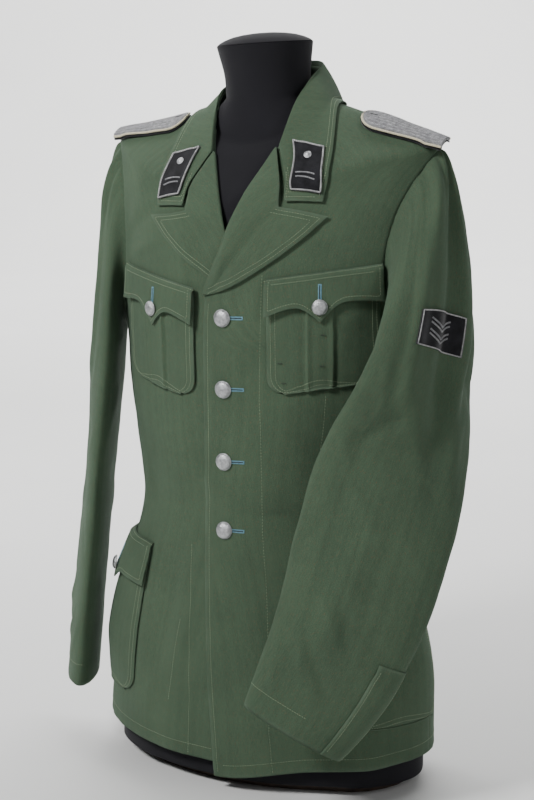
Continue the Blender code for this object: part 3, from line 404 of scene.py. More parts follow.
def sums(tree, operation, first, second=0.0):
    return add(tree, "ShaderNodeMath", {0: first, 1: second}, operation=operation).outputs[0]


def blended(tree, share, first, second, way="MIX"):
    made = add(
        tree, "ShaderNodeMix", {0: share, 6: first, 7: second}, data_type="RGBA", blend_type=way
    )
    return made.outputs[2]


def grain(tree, where, size, detail=2.0, stretch=(1.0, 1.0, 1.0)):
    """Noise whose marks are about size metres, longer where the stretch is larger."""
    scale = tuple(1.0 / (size * part) for part in stretch)
    placed = add(tree, "ShaderNodeMapping", {"Vector": where, "Scale": scale}).outputs[0]
    made = add(tree, "ShaderNodeTexNoise", {"Vector": placed, "Scale": 1.0, "Detail": detail})
    return made.outputs[0]


def steps_of(tree, value, low, high):
    made = add(tree, "ShaderNodeMapRange", {0: value, 1: low, 2: high}, clamp=True)
    return made.outputs[0]


def new_finish(name, roughness, metallic=0.0, sheen=0.0):
    made = bpy.data.materials.new(name)
    made.use_nodes = True
    shader = made.node_tree.nodes["Principled BSDF"]
    shader.inputs["Roughness"].default_value = roughness
    shader.inputs["Metallic"].default_value = metallic
    shader.inputs["Sheen Weight"].default_value = sheen
    shader.inputs["Sheen Roughness"].default_value = 0.5
    return made, made.node_tree, shader


def raise_grain(tree, shader, height, strength, distance):
    made = add(
        tree, "ShaderNodeBump", {"Height": height, "Strength": strength, "Distance": distance}
    )
    tree.links.new(made.outputs[0], shader.inputs["Normal"])


def colour_in(tree, shader, colour, roughness=None):
    tree.links.new(colour, shader.inputs["Base Color"])
    if roughness is not None:
        tree.links.new(roughness, shader.inputs["Roughness"])

# %% [markdown]
# The cloth is a worsted drill: dark green warp over a lighter, slightly blue weft, with a brown
# thread here and there, woven in faint herringbone bands that run down each piece. The pattern
# reads the piece's own UV map, laid out in metres, so a band follows its sleeve round the elbow.
# The folded edges have rubbed paler, and that comes from the mesh's own edge attribute.

# %% The green cloth


def woven_green(name, dark, light, brown):
    made, tree, shader = new_finish(name, 0.88, sheen=0.12)
    shader.inputs["Sheen Tint"].default_value = (0.55, 0.75, 0.62, 1.0)
    shader.inputs["Specular IOR Level"].default_value = 0.25
    coordinates = add(tree, "ShaderNodeTexCoord")
    flat, solid = coordinates.outputs["UV"], coordinates.outputs["Object"]
    parts = add(tree, "ShaderNodeSeparateXYZ", {0: flat})
    zigzag = sums(tree, "PINGPONG", parts.outputs[0], 0.0055)
    slant = sums(tree, "ADD", parts.outputs[1], zigzag)
    twill = sums(tree, "SINE", sums(tree, "MULTIPLY", slant, 2 * math.pi / 0.0011))
    twill = sums(tree, "MULTIPLY_ADD", twill, 0.5)
    twill.node.inputs[2].default_value = 0.5
    speckle = grain(tree, flat, 0.0007, 3.0, (0.8, 1.8, 1.0))
    threads = grain(tree, flat, 0.0010, 2.0, (0.6, 9.0, 1.0))
    bands = grain(tree, flat, 0.010, 1.0, (0.7, 30.0, 1.0))
    clouds = grain(tree, solid, 0.055, 3.0)
    tone = sums(tree, "ADD", sums(tree, "MULTIPLY", twill, 0.22), sums(tree, "MULTIPLY", speckle, 0.55))
    tone = sums(tree, "ADD", tone, sums(tree, "MULTIPLY", threads, 0.38))
    tone = sums(tree, "ADD", tone, sums(tree, "MULTIPLY", bands, 0.16))
    tone = sums(tree, "ADD", tone, sums(tree, "MULTIPLY", clouds, 0.22))
    colour = blended(tree, steps_of(tree, tone, 0.42, 1.10), dark, light)
    rare = steps_of(tree, grain(tree, flat, 0.0016, 2.0, (0.7, 2.2, 1.0)), 0.56, 0.72)
    colour = blended(tree, sums(tree, "MULTIPLY", rare, 0.42), colour, brown)
    edge = add(tree, "ShaderNodeAttribute", attribute_name="edge").outputs["Fac"]
    rubbed = sums(tree, "MULTIPLY", edge, steps_of(tree, clouds, 0.35, 0.75))
    colour = blended(tree, sums(tree, "MULTIPLY", rubbed, 0.22), colour, (0.17, 0.22, 0.17, 1.0))
    colour_in(tree, shader, colour, steps_of(tree, clouds, -0.9, 1.1))
    shader.inputs["Roughness"].links[0].from_node.inputs[3].default_value = 0.80
    shader.inputs["Roughness"].links[0].from_node.inputs[4].default_value = 0.96
    height = sums(tree, "ADD", sums(tree, "MULTIPLY", twill, 0.6), speckle)
    raise_grain(tree, shader, height, 0.35, 0.0004)
    return made


GREEN_CLOTH = woven_green(
    "green_drill", (0.016, 0.034, 0.021, 1.0), (0.098, 0.150, 0.090, 1.0), (0.150, 0.085, 0.045, 1.0)
)
print("finish:", GREEN_CLOTH.name)

# %% [markdown]
# The trims need their own finishes: a dense black felt, silver braid with slanted strands,
# a cord of two pale strands twisted together (both with painted shade in the grooves between
# their strands), pale sewing thread, blue buttonhole silk, a hammered grey alloy, black jersey
# on the form, and dark stained wood under it.

# %% The other finishes


def felt(name, dark, light):
    made, tree, shader = new_finish(name, 0.97, sheen=0.25)
    shader.inputs["Specular IOR Level"].default_value = 0.15
    solid = add(tree, "ShaderNodeTexCoord").outputs["Object"]
    hairs = grain(tree, solid, 0.0006, 4.0)
    clouds = grain(tree, solid, 0.012, 2.0)
    tone = sums(tree, "MULTIPLY", hairs, clouds)
    colour_in(tree, shader, blended(tree, steps_of(tree, tone, 0.15, 0.42), dark, light))
    raise_grain(tree, shader, hairs, 0.5, 0.0004)
    return made


def twisted(name, pale, deep, pitch, turns, metallic=0.0, roughness=0.6):
    """Strands that wind round a cord or braid: UV x goes round it, and UV y runs along it."""
    made, tree, shader = new_finish(name, roughness, metallic, sheen=0.1)
    coordinates = add(tree, "ShaderNodeTexCoord")
    parts = add(tree, "ShaderNodeSeparateXYZ", {0: coordinates.outputs["UV"]})
    along = sums(tree, "MULTIPLY", parts.outputs[1], 2 * math.pi / pitch)
    round_it = sums(tree, "MULTIPLY", parts.outputs[0], 2 * math.pi * turns)
    strand = sums(tree, "SINE", sums(tree, "ADD", along, round_it))
    strand = steps_of(tree, strand, -1.0, 0.6)
    age = grain(tree, coordinates.outputs["Object"], 0.004, 3.0)
    # The tone falls to the deep colour in the grooves between the strands, which is painted shade, and in
    # patches where the age noise is low, which is tarnish.
    tone = sums(tree, "MULTIPLY", strand, steps_of(tree, age, 0.2, 0.7))
    colour_in(tree, shader, blended(tree, tone, deep, pale))
    raise_grain(tree, shader, strand, 0.7, 0.0004)
    return made


def thread(name, pale, deep):
    made, tree, shader = new_finish(name, 0.7, sheen=0.2)
    solid = add(tree, "ShaderNodeTexCoord").outputs["Object"]
    fibres = grain(tree, solid, 0.0009, 2.0)
    colour_in(tree, shader, blended(tree, steps_of(tree, fibres, 0.3, 0.7), deep, pale))
    raise_grain(tree, shader, fibres, 0.4, 0.0002)
    return made


def hammered(name):
    made, tree, shader = new_finish(name, 0.42, 0.85)
    solid = add(tree, "ShaderNodeTexCoord").outputs["Object"]
    dents = add(tree, "ShaderNodeTexVoronoi", {"Vector": solid, "Scale": 1100.0}).outputs[0]
    wear = grain(tree, solid, 0.003, 3.0)
    worn = steps_of(tree, wear, 0.35, 0.7)
    colour = blended(tree, worn, (0.40, 0.41, 0.42, 1.0), (0.74, 0.75, 0.76, 1.0))
    hollow = steps_of(tree, dents, 0.05, 0.55)
    colour = blended(tree, sums(tree, "MULTIPLY", hollow, 0.25), colour, (0.20, 0.20, 0.20, 1.0))
    colour_in(tree, shader, colour, steps_of(tree, wear, -0.4, 1.6))
    raise_grain(tree, shader, dents, 0.5, 0.0005)
    return made


def jersey(name):
    made, tree, shader = new_finish(name, 0.95, sheen=0.08)
    shader.inputs["Specular IOR Level"].default_value = 0.2
    coordinates = add(tree, "ShaderNodeTexCoord")
    parts = add(tree, "ShaderNodeSeparateXYZ", {0: coordinates.outputs["UV"]})
    ribs = sums(tree, "SINE", sums(tree, "MULTIPLY", parts.outputs[0], 2 * math.pi / 0.0012))
    rows = sums(tree, "SINE", sums(tree, "MULTIPLY", parts.outputs[1], 2 * math.pi / 0.0009))
    knit = steps_of(tree, sums(tree, "MULTIPLY", ribs, rows), -1.0, 1.0)
    clouds = grain(tree, coordinates.outputs["Object"], 0.05, 3.0)
    tone = sums(tree, "MULTIPLY", knit, clouds)
    colour = blended(tree, tone, (0.008, 0.008, 0.010, 1.0), (0.022, 0.021, 0.026, 1.0))
    colour_in(tree, shader, colour)
    raise_grain(tree, shader, knit, 0.3, 0.0003)
    return made


def stained_wood(name):
    made, tree, shader = new_finish(name, 0.45)
    solid = add(tree, "ShaderNodeTexCoord").outputs["Object"]
    figure = grain(tree, solid, 0.006, 4.0, (9.0, 1.0, 1.0))
    pores = grain(tree, solid, 0.001, 2.0, (14.0, 1.0, 1.0))
    tone = sums(tree, "ADD", figure, sums(tree, "MULTIPLY", pores, 0.3))
    colour = blended(
        tree, steps_of(tree, tone, 0.4, 0.9), (0.022, 0.013, 0.009, 1.0), (0.085, 0.050, 0.030, 1.0)
    )
    colour_in(tree, shader, colour, steps_of(tree, pores, -1.0, 2.2))
    raise_grain(tree, shader, pores, 0.3, 0.0003)
    return made


BLACK_FELT = felt("black_felt", (0.004, 0.004, 0.005, 1.0), (0.022, 0.022, 0.026, 1.0))
# The second colour of the braid and of the cord is painted shade in the grooves between their strands, and
# their tarnish.
SILVER_BRAID = twisted(
    "silver_braid", (0.50, 0.50, 0.51, 1.0), (0.10, 0.10, 0.11, 1.0), 0.0022, 450.0, 0.30, 0.5
)
TWIST_CORD = twisted("twist_cord", (0.72, 0.72, 0.70, 1.0), (0.16, 0.16, 0.17, 1.0), 0.0024, 200.0)
CREAM_PIPING = thread("cream_piping", (0.74, 0.68, 0.50, 1.0), (0.45, 0.40, 0.27, 1.0))
PALE_THREAD = thread("pale_thread", (0.36, 0.43, 0.26, 1.0), (0.18, 0.24, 0.15, 1.0))
BLUE_SILK = thread("blue_silk", (0.22, 0.46, 0.56, 1.0), (0.07, 0.19, 0.26, 1.0))
# Near-black: painted shade in the buttonhole slits and the strap slot, and the own colour of the small
# thread loops.
SLIT_SHADE_AND_DARK_THREAD = thread("slit_shade_and_dark_thread", (0.006, 0.008, 0.007, 1.0), (0.003, 0.004, 0.004, 1.0))
GREY_ALLOY = hammered("hammered_alloy")
BLACK_JERSEY = jersey("black_jersey")
DARK_WOOD = stained_wood("dark_wood")
print("finishes made:", len(bpy.data.materials))

# %% [markdown]
# A piece of cloth starts as a flat grid, as it lies on the cutting table. Each of its points is
# then moved to its place on the surface, its flat place is kept as a UV map in metres, and a
# Solidify modifier gives it its thickness inwards. Sewn edges dip a little and pucker, which is
# a small ripple that dies away within a centimetre of the seam.

# %% A piece of cloth from a grid
FINE = 0.0032
PUCKER_REACH = 0.0065
CUTS, SKINS, GRIDS = {}, {}, {}


def steps_between(low, high, count, dense_low=0, dense_high=0):
    """Values from low to high, with finer steps beside a sewn edge."""
    inside = [low + (high - low) * step / count for step in range(count + 1)]
    first, last = inside[1] - inside[0], inside[-1] - inside[-2]
    near = [low + first * part for part in (0.2, 0.45, 0.7)[:dense_low]]
    far = [high - last * part for part in (0.2, 0.45, 0.7)[:dense_high]]
    return sorted(inside + near + far)


def in_scene(name, mesh, material, replaces=()):
    made = bpy.data.objects.new(name, mesh)
    bpy.context.scene.collection.objects.link(made)
    mesh.materials.append(material)
    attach(made, "root")
    if replaces:
        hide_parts(*replaces)
    return made


def running_lengths(spots, by_row):
    """Distances along the cloth to each point of a grid, across it or down it."""
    found = [[0.0] * len(spots[0]) for _ in spots]
    for i in range(len(spots)):
        for j in range(len(spots[0])):
            if by_row and i:
                found[i][j] = found[i - 1][j] + (spots[i][j] - spots[i - 1][j]).length
            if not by_row and j:
                found[i][j] = found[i][j - 1] + (spots[i][j] - spots[i][j - 1]).length
    return found


def cloth(name, place, across, along, replaces=(), edges="lrbt", wall=CLOTH, closed=False,
          material=None, pucker=0.00030, dip=0.0006, seed=0.0):
    """A sheet of cloth: place(a, b, out) for the values of across and along."""
    maker = bmesh.new()
    flat = maker.loops.layers.uv.new("UVMap")
    edge_layer = maker.verts.layers.float.new("edge")
    wide, tall = len(across) - 1, len(along) - 1
    bmesh.ops.create_grid(maker, x_segments=wide, y_segments=tall, size=1.0)
    spots = [[place(a, b, 0.0) for b in along] for a in across]
    over, down = running_lengths(spots, True), running_lengths(spots, False)
    middle = len(across) // 2
    index = {}
    for corner in maker.verts:
        i = round((corner.co.x + 1) / 2 * wide)
        j = round((corner.co.y + 1) / 2 * tall)
        index[corner] = (i, j)
        corner.co = spots[i][j]
    for face in maker.faces:
        for loop in face.loops:
            i, j = index[loop.vert]
            loop[flat].uv = (over[i][j] - over[middle][j], down[i][j])
    i, j = wide // 2, tall // 2
    probe = place(across[i], along[j], 0.001) - spots[i][j]
    maker.normal_update()
    here = next(corner for corner in maker.verts if index[corner] == (i, j))
    if here.normal.dot(probe) < 0:
        bmesh.ops.reverse_faces(maker, faces=maker.faces[:])
        maker.normal_update()
    moves = {}
    for corner, (i, j) in index.items():
        far = {"l": over[i][j], "r": over[-1][j] - over[i][j]}
        far.update({"b": down[i][j], "t": down[i][-1] - down[i][j]})
        runs = {"l": down[i][j], "r": down[i][j] + 0.4, "b": over[i][j] + 0.8, "t": over[i][j] + 1.3}
        near = min((far[letter] for letter in edges), default=1.0)
        corner[edge_layer] = bump(near, 0.0035)
        ripple = 0.0
        for letter in edges:
            wave = noise.noise(Vector((runs[letter] / 0.0085, seed, 3.0 * ord(letter) % 7)))
            ripple += pucker * 1.6 * wave * bump(far[letter], PUCKER_REACH)
        moves[corner] = corner.normal * (ripple - dip * bump(near, 0.0016))
    for corner, move in moves.items():
        corner.co += move
    if closed:
        bmesh.ops.remove_doubles(maker, verts=maker.verts[:], dist=0.00002)
    SKINS[name] = BVHTree.FromBMesh(maker)
    GRIDS[name] = (list(across), list(along), spots, over, down)
    mesh = bpy.data.meshes.new(name)
    area = sum(face.calc_area() for face in maker.faces)
    maker.to_mesh(mesh)
    maker.free()
    mesh.shade_smooth()
    made = in_scene(name, mesh, material or GREEN_CLOTH, replaces)
    if wall:
        thick = made.modifiers.new("Thickness", "SOLIDIFY")
        thick.thickness = wall
        thick.offset = -1.0
    width = max(row[-1] - row[0] for row in zip(*[[c for c in column] for column in over]))
    CUTS[name] = (width, max(column[-1] for column in down), area)
    print(name, len(across) * len(along), "points,", [round(v, 3) for v in CUTS[name]])
    return made

# %% [markdown]
# The fronts and the back are the large panels. The left front lies over the right one and hangs
# lower at its corner. At the armholes and sides their edges are sewn, so they dip.

# %% Fronts and back
EDGE_COLUMNS = ("side_h", "past_centre")
FRONT_EDGE = (
    (0.042, 0.010),
    (0.130, 0.019),
    (0.220, 0.025),
    (0.325, 0.027),
    (0.500, 0.027),
    (0.572, 0.024),
    (0.610, 0.012),
    (0.640, 0.002),
    (0.675, -0.006),
    (0.708, -0.0165),
    (0.733, -0.0300),
    (0.750, -0.0395),
    (0.765, -0.0455),
)
LEFT_CORNER_DROP = 0.016
OVERLAP_DEPTH = 0.0023
LAPEL_TUCK_DEPTH = 0.0045
ARMHOLE_FRONT_ANGLE = 30.0
ARMHOLE_BACK_ANGLE = 26.0
EDGE = Table(EDGE_COLUMNS, FRONT_EDGE)


def armhole_angle(height, back=False):
    middle, half = (ARMPIT_H + TIP_H) / 2, (TIP_H - ARMPIT_H) / 2
    share = min(1.0, abs(height - middle) / half)
    bow = math.sqrt(1 - share * share)
    return 90.0 + ARMHOLE_BACK_ANGLE * bow if back else 90.0 - ARMHOLE_FRONT_ANGLE * bow


def side_angle(height, back=False):
    if ARMPIT_H < height < TIP_H:
        return armhole_angle(height, back)
    return 90.0


def seam_turn(height):
    """The angle that parts two panels by the seam gap where they meet at a side."""
    row = BODY.read(height)
    depth = row["side_y"] - row["front_y"]
    return math.degrees(math.asin((SEAM_GAP / depth) ** (1 / row["power"])))


def front_angle(side, height):
    """The angle of a front's own edge: past the centre line, or its roll line."""
    past = EDGE.read(height)["past_centre"]
    return -side * angle_at(past, height) if past >= 0 else side * angle_at(-past, height)


def right_depth(x, height):
    """How deep the right front lies under the left one where they overlap."""
    tuck = ease(0.53, 0.56, height) * (1 - ease(0.66, 0.70, height))
    depth = OVERLAP_DEPTH + (LAPEL_TUCK_DEPTH - OVERLAP_DEPTH) * tuck
    return depth * ease(-0.062, -0.032, x) * (1 - ease(0.640, 0.690, height))


def corner_drop(angle, height):
    """The left front hangs lower at its corner."""
    return LEFT_CORNER_DROP * bump(angle + 2.0, 20.0) * (1 - ease(HEM_H, 0.20, height))


def front_surface(side, angle, height, out):
    """A point on a front: the right one lies deeper at the middle, the left one hangs lower."""
    if side < 0:
        return body(angle, height, out - right_depth(body_base(angle, height).x, height))
    spot = body(angle, height, out)
    spot.z -= corner_drop(angle, height)
    return spot


def front_place(side):
    def place(share, height, out):
        edge = front_angle(side, height)
        seam = side * (side_angle(height) - seam_turn(height))
        return front_surface(side, edge + (seam - edge) * share, height, out)

    return place


def back_place(share, height, out):
    seam = side_angle(height, back=True) + seam_turn(height)
    return body(seam + (360.0 - 2 * seam) * share, height, out)


def panel_levels(step):
    """Heights up a panel, close together where the armhole and the shoulder turn."""
    count = round((TIP_H - HEM_H) / step)
    low = [HEM_H + 0.0012, HEM_H + 0.0028]
    low += [HEM_H + (TIP_H - HEM_H) * part / count for part in range(count + 1)]
    arm = [ARMPIT_H + part for part in (0.0004, 0.0012, 0.0024, 0.0045, 0.0072)]
    arm += [TIP_H - part for part in (0.0004, 0.0012, 0.0024, 0.0045, 0.0072)]
    top = [TIP_H + (NECK_H - TIP_H) * part / 24 for part in range(1, 25)]
    return sorted(set(low + arm + top))


FRONT_STEPS = steps_between(0.0, 1.0, 68, 2, 3)
cloth(
    "left_front_cloth", front_place(1), FRONT_STEPS, panel_levels(FINE), ["front_left"], seed=1.0
)
cloth(
    "right_front_cloth", front_place(-1), FRONT_STEPS, panel_levels(FINE), ["front_right"], seed=2.0
)
back = cloth(
    "back_cloth", back_place, steps_between(0.0, 1.0, 128, 3, 3), panel_levels(0.0040), ["back"], seed=3.0
)

# %% [markdown]
# A lapel is the top of a front, turned back along its roll line. The cloth makes a soft half
# turn there, so the piece starts under the roll, comes round it, and lies out to its point.

# %% Lapels
NOTCH_XZ = (0.0590, 0.6580)
LAPEL_EDGE_XZ = (
    (-0.0160, 0.5610), (0.0080, 0.5700), (0.0414, 0.5900), (0.0780, 0.6185), (0.1095, 0.6490),
)
LAPEL_LIFT = 0.0022
LAPEL_ROLL = 0.0040
NOTCH = on_front(*NOTCH_XZ)
LAPEL_EDGE = [on_front(*spot) for spot in LAPEL_EDGE_XZ]


def along_points(points, share):
    """A place on a smooth path through evenly spaced (angle, height) points."""
    rows = [(index / (len(points) - 1), *point) for index, point in enumerate(points)]
    row = Table(("at", "angle", "height"), rows).read(share)
    return row["angle"], row["height"]


def gorge(share):
    """The lapel's top: down the gorge seam from the roll line to the notch, then to the tip."""
    roll = (front_angle(1, LAPEL_TOP_H), LAPEL_TOP_H)
    if share < 0.5:
        return mix(roll, NOTCH, share / 0.5)
    return mix(NOTCH, LAPEL_EDGE[-1], (share - 0.5) / 0.5)


def lapel_spot(share, rise):
    """(angle, height) on the lapel: share 0 is the roll line, rise 0 the break."""
    height = BREAK_H + (LAPEL_TOP_H - BREAK_H) * rise
    roll = (front_angle(1, height), height)
    edge = along_points(LAPEL_EDGE, rise)
    bottom = mix((front_angle(1, BREAK_H), BREAK_H), LAPEL_EDGE[0], share)
    low, high = mix(roll, edge, share), mix(bottom, gorge(share), rise)
    corners = mix(
        mix((front_angle(1, BREAK_H), BREAK_H), LAPEL_EDGE[0], share),
        mix((front_angle(1, LAPEL_TOP_H), LAPEL_TOP_H), LAPEL_EDGE[-1], share),
        rise,
    )
    return low[0] + high[0] - corners[0], low[1] + high[1] - corners[1]


def lapel_out(share, rise):
    roll = LAPEL_ROLL * math.sin(math.pi * min(1.0, share * 1.6 + 0.12)) * ease(0.0, 0.35, rise)
    return CLOTH + LAY_GAP + LAPEL_LIFT * share * ease(0.0, 0.25, rise) + roll


def lapel_place(side):
    def place(share, rise, out):
        angle, height = lapel_spot(max(share, 0.0), rise)
        angle *= side
        lift = lapel_out(max(share, 0.0), rise)
        if side < 0:
            x = body_base(angle, height).x
            buried = ease(-0.045, -0.025, x) * (1 - ease(0.66, 0.70, height))
            lift = (CLOTH + LAY_GAP) * buried + lift * (1 - buried) - right_depth(x, height)
        if share >= 0.0:
            return body(angle, height, lift + out)
        low = -0.0012 if side > 0 else -0.0012 - right_depth(body_base(angle, height).x, height)
        radius, turn = (lift - low) / 2, -share * math.pi
        way = (body(angle - side * 1.0, height) - body(angle, height)).normalized()
        spot = body(angle, height, (lift + low) / 2 + (radius + out) * math.cos(turn))
        return spot + way * (radius + out) * math.sin(turn)

    return place


ROLL_STEPS = [-1.0, -0.85, -0.7, -0.55, -0.4, -0.25, -0.12]
LAPEL_STEPS = ROLL_STEPS + steps_between(0.0, 1.0, 36, 0, 2)
LAPEL_RISES = steps_between(0.0, 0.985, 58, 0, 2)
lapels = {}
for side, name in ((1, "left"), (-1, "right")):
    lapels[name] = cloth(
        name + "_lapel_cloth", lapel_place(side), LAPEL_STEPS, LAPEL_RISES, ["lapel_" + name],
        edges="rt", seed=4.0 + side,
    )

# %% [markdown]
# The collar is a stand round the neck and a fall that turns over it. The fall is kept a little
# clear of the shoulders it lies on. Its fold is a half turn too, from the fall down to the
# stand's top edge, so no raw edge shows at the neck.

# %% Collar
NECK_CENTRE = (-0.004, 0.008)
COLLAR_COLUMNS = (
    "round", "fold_x", "fold_y", "fold_z", "edge_x", "edge_y", "edge_z", "bulge",
)
COLLAR_SECTIONS = (
    (0.0, 0.0400, -0.0560, 0.7170, 0.1000, -0.0700, 0.6560, 0.0000),
    (1.0, 0.0455, -0.0410, 0.7410, 0.1010, -0.0540, 0.6860, 0.0005),
    (2.0, 0.0510, -0.0210, 0.7680, 0.0960, -0.0300, 0.7200, 0.0015),
    (3.0, 0.0560, 0.0060, 0.7890, 0.0860, 0.0040, 0.7500, 0.0020),
    (4.0, 0.0520, 0.0370, 0.8000, 0.0740, 0.0500, 0.7510, 0.0025),
    (5.0, 0.0320, 0.0610, 0.8060, 0.0440, 0.0810, 0.7460, 0.0035),
    (6.0, 0.0000, 0.0690, 0.8080, 0.0000, 0.0890, 0.7440, 0.0035),
)
COLLAR_CLEAR = 0.0026
COLLAR_DROP = 0.0085
STAND_START = 2.0
COLLAR = Table(COLLAR_COLUMNS, COLLAR_SECTIONS)


def leaning(spot, side):
    """A spot given for the left side, on either side of the leaning neck."""
    x = side * spot.x
    rise = lean(x)
    if side < 0:
        rise -= COLLAR_DROP * ease(0.715, 0.780, spot.z) * ease(0.0, 0.045, spot.x)
    return Vector((x + NECK_CENTRE[0] * ease(0.70, 0.765, spot.z), spot.y, spot.z + rise))


def fold_point(turn, side):
    """A point of the collar's fold: turn 0 at a front end, 6 at the back."""
    row = COLLAR.read(turn)
    return leaning(Vector((row["fold_x"], row["fold_y"], row["fold_z"])), side)


def fold_way(turn, side):
    return fold_point(min(turn + 0.1, 6.0), side) - fold_point(max(turn - 0.1, 0.0), side)


def collar_edge(turn, side):
    row = COLLAR.read(turn)
    return leaning(Vector((row["edge_x"], row["edge_y"], row["edge_z"])), side)


def collar_end(share, side):
    """The collar's front end: down the gorge seam to the notch, then out to the collar's point."""
    def along_gorge(part):
        angle, height = mix((front_angle(1, LAPEL_TOP_H), LAPEL_TOP_H), NOTCH, part)
        return body(side * (angle + 0.7), height + 0.0035, COLLAR_CLEAR + CLOTH)

    if share < 0.5:
        part = share / 0.5
        start = fold_point(0.0, side) - along_gorge(0.0)
        return along_gorge(part) + start * (1 - part)
    return along_gorge(1.0).lerp(collar_edge(0.0, side), (share - 0.5) / 0.5)


def fall_base(turn, share, side):
    """The fall of the collar: turn 0 at its front end and 6 at the back, share 0 at the fold."""
    fold, edge = fold_point(turn, side), collar_edge(turn, side)
    out = (edge - fold).cross(fold_way(turn, side)).normalized() * side
    middle = (fold + edge) / 2 + out * COLLAR.read(turn)["bulge"] * 2
    spot = fold * (1 - share) ** 2 + middle * 2 * share * (1 - share) + edge * share**2
    if turn < 1.0:
        plain = fold_point(0.0, side).lerp(collar_edge(0.0, side), share)
        spot += (collar_end(share, side) - plain) * (1 - turn) ** 1.5
    return clear_of_body(spot, COLLAR_CLEAR + CLOTH)


def fall(turn, share, side, out=0.0):
    """A point of the collar's fall, moved out from its outer face."""
    spot = fall_base(turn, share, side)
    if out:
        back, on = max(turn - 0.08, 0.0), min(turn + 0.08, 6.0)
        high, low = max(share - 0.05, 0.0), min(share + 0.05, 1.0)
        ahead = fall_base(on, share, side) - fall_base(back, share, side)
        down = fall_base(turn, low, side) - fall_base(turn, high, side)
        spot = spot + down.cross(ahead).normalized() * out * side
    return spot


def stand_place(turn, rise, side, out):
    top = fold_point(turn, side)
    across, along = top.x - NECK_CENTRE[0], NECK_CENTRE[1] - top.y
    seam = body(math.degrees(math.atan2(across, along)), NECK_H)
    seam.z += SEAM_GAP * 2
    spot = seam.lerp(top, rise)
    inward = Vector((NECK_CENTRE[0] - spot.x, NECK_CENTRE[1] - spot.y, 0.0)).normalized()
    return spot + inward * (0.0032 * ease(0.1, 0.7, rise) - out)


def one_side(turn):
    return (turn, 1) if turn <= 6.0 else (12.0 - turn, -1)


def collar_place(turn, share, out):
    turn, side = one_side(turn)
    if share >= 0.02:
        return fall(turn, share, side, out)
    outer = fall(turn, 0.02, side, out)
    inner = stand_place(turn, 0.80, side, 0.0)
    inward = Vector((NECK_CENTRE[0] - outer.x, NECK_CENTRE[1] - outer.y, 0.0)).normalized()
    inner = inner.lerp(outer + inward * 0.004 + Vector((0.0, 0.0, -0.004)), 1 - ease(1.4, 2.4, turn))
    top = (outer + inner) / 2 + Vector((0.0, 0.0, 0.0045 + out))
    part = -share
    return outer * (1 - part) ** 2 + top * 2 * part * (1 - part) + inner * part**2


def round_collar(first, count):
    half = steps_between(first, 6.0, count, 3, 0)
    return half + [12.0 - turn for turn in reversed(half[:-1])]


FALL_STEPS = [-1.0, -0.75, -0.5, -0.32, -0.18, -0.08] + steps_between(0.02, 1.0, 20, 0, 3)
cloth(
    "collar_fall_cloth", collar_place, round_collar(0.0, 64), FALL_STEPS, ["collar_fall"],
    edges="lrt", seed=7.0,
)


def collar_stand_place(turn, rise, out):
    turn, side = one_side(turn)
    return stand_place(turn, rise, side, out)


cloth(
    "collar_stand_cloth", collar_stand_place, round_collar(STAND_START, 44),
    steps_between(0.0, 0.86, 9), ["collar_stand"], edges="", seed=8.0,
)

# %% [markdown]
# A sleeve is a tube that hangs from the armhole. It is read by an angle round the arm (0 on the
# outer side, 90 at the front crease) and a row down the arm: 0 at the armhole, 1 under the
# armpit, 9 at the cuff. At the head the cloth is gathered into the seam, so a row of small
# pleats runs down from it and fades out. Below the elbow the cloth breaks into short creases.

# %% Sleeve tables, gathers and creases
SLEEVE_COLUMNS = ("z", "x", "y", "turn", "half_width", "half_thickness")
LEFT_SLEEVE = (
    (0.490, 0.2060, -0.042, 18.0, 0.080, 0.0240),
    (0.440, 0.2005, -0.060, 30.0, 0.082, 0.0240),
    (0.400, 0.1935, -0.076, 43.0, 0.083, 0.0240),
    (0.353, 0.1850, -0.092, 55.0, 0.084, 0.0240),
    (0.298, 0.1755, -0.106, 61.0, 0.083, 0.0230),
    (0.243, 0.1640, -0.119, 63.0, 0.080, 0.0220),
    (0.187, 0.1470, -0.133, 63.0, 0.075, 0.0210),
    (0.138, 0.1265, -0.147, 63.0, 0.068, 0.0200),
    (0.102, 0.1080, -0.158, 63.0, 0.060, 0.0185),
)
RIGHT_SLEEVE = (
    (0.490, 0.2035, -0.008, 27.0, 0.075, 0.0185),
    (0.440, 0.2075, -0.009, 27.0, 0.076, 0.0180),
    (0.380, 0.2135, -0.011, 27.0, 0.077, 0.0175),
    (0.320, 0.2190, -0.013, 27.0, 0.076, 0.0170),
    (0.260, 0.2245, -0.015, 27.0, 0.075, 0.0170),
    (0.200, 0.2300, -0.018, 27.0, 0.073, 0.0175),
    (0.150, 0.2345, -0.021, 27.0, 0.070, 0.0180),
    (0.112, 0.2375, -0.023, 27.0, 0.066, 0.0185),
    (0.078, 0.2400, -0.025, 27.0, 0.062, 0.0185),
)
# Columns: start, end, start_angle, end_angle, angle_width, depth.
SLEEVE_FOLDS = (
    (0.05, 3.2, 24.0, -2.0, 15.0, 0.0060),
    (0.05, 3.6, 6.0, -30.0, 14.0, -0.0060),
    (0.05, 4.2, -10.0, -52.0, 13.0, 0.0060),
    (0.05, 2.0, -34.0, -76.0, 12.0, -0.0040),
    (0.30, 2.4, 150.0, 160.0, 20.0, -0.0040),
    (2.60, 5.4, 40.0, 30.0, 16.0, -0.0030),
    (4.60, 7.6, 8.0, 20.0, 13.0, 0.0030),
)


def sleeve_table(side):
    rows = LEFT_SLEEVE if side > 0 else RIGHT_SLEEVE
    return Table(("row", *SLEEVE_COLUMNS), [(index + 1.0, *row) for index, row in enumerate(rows)])


SLEEVES = {1: sleeve_table(1), -1: sleeve_table(-1)}
SLEEVE_END = float(len(LEFT_SLEEVE))
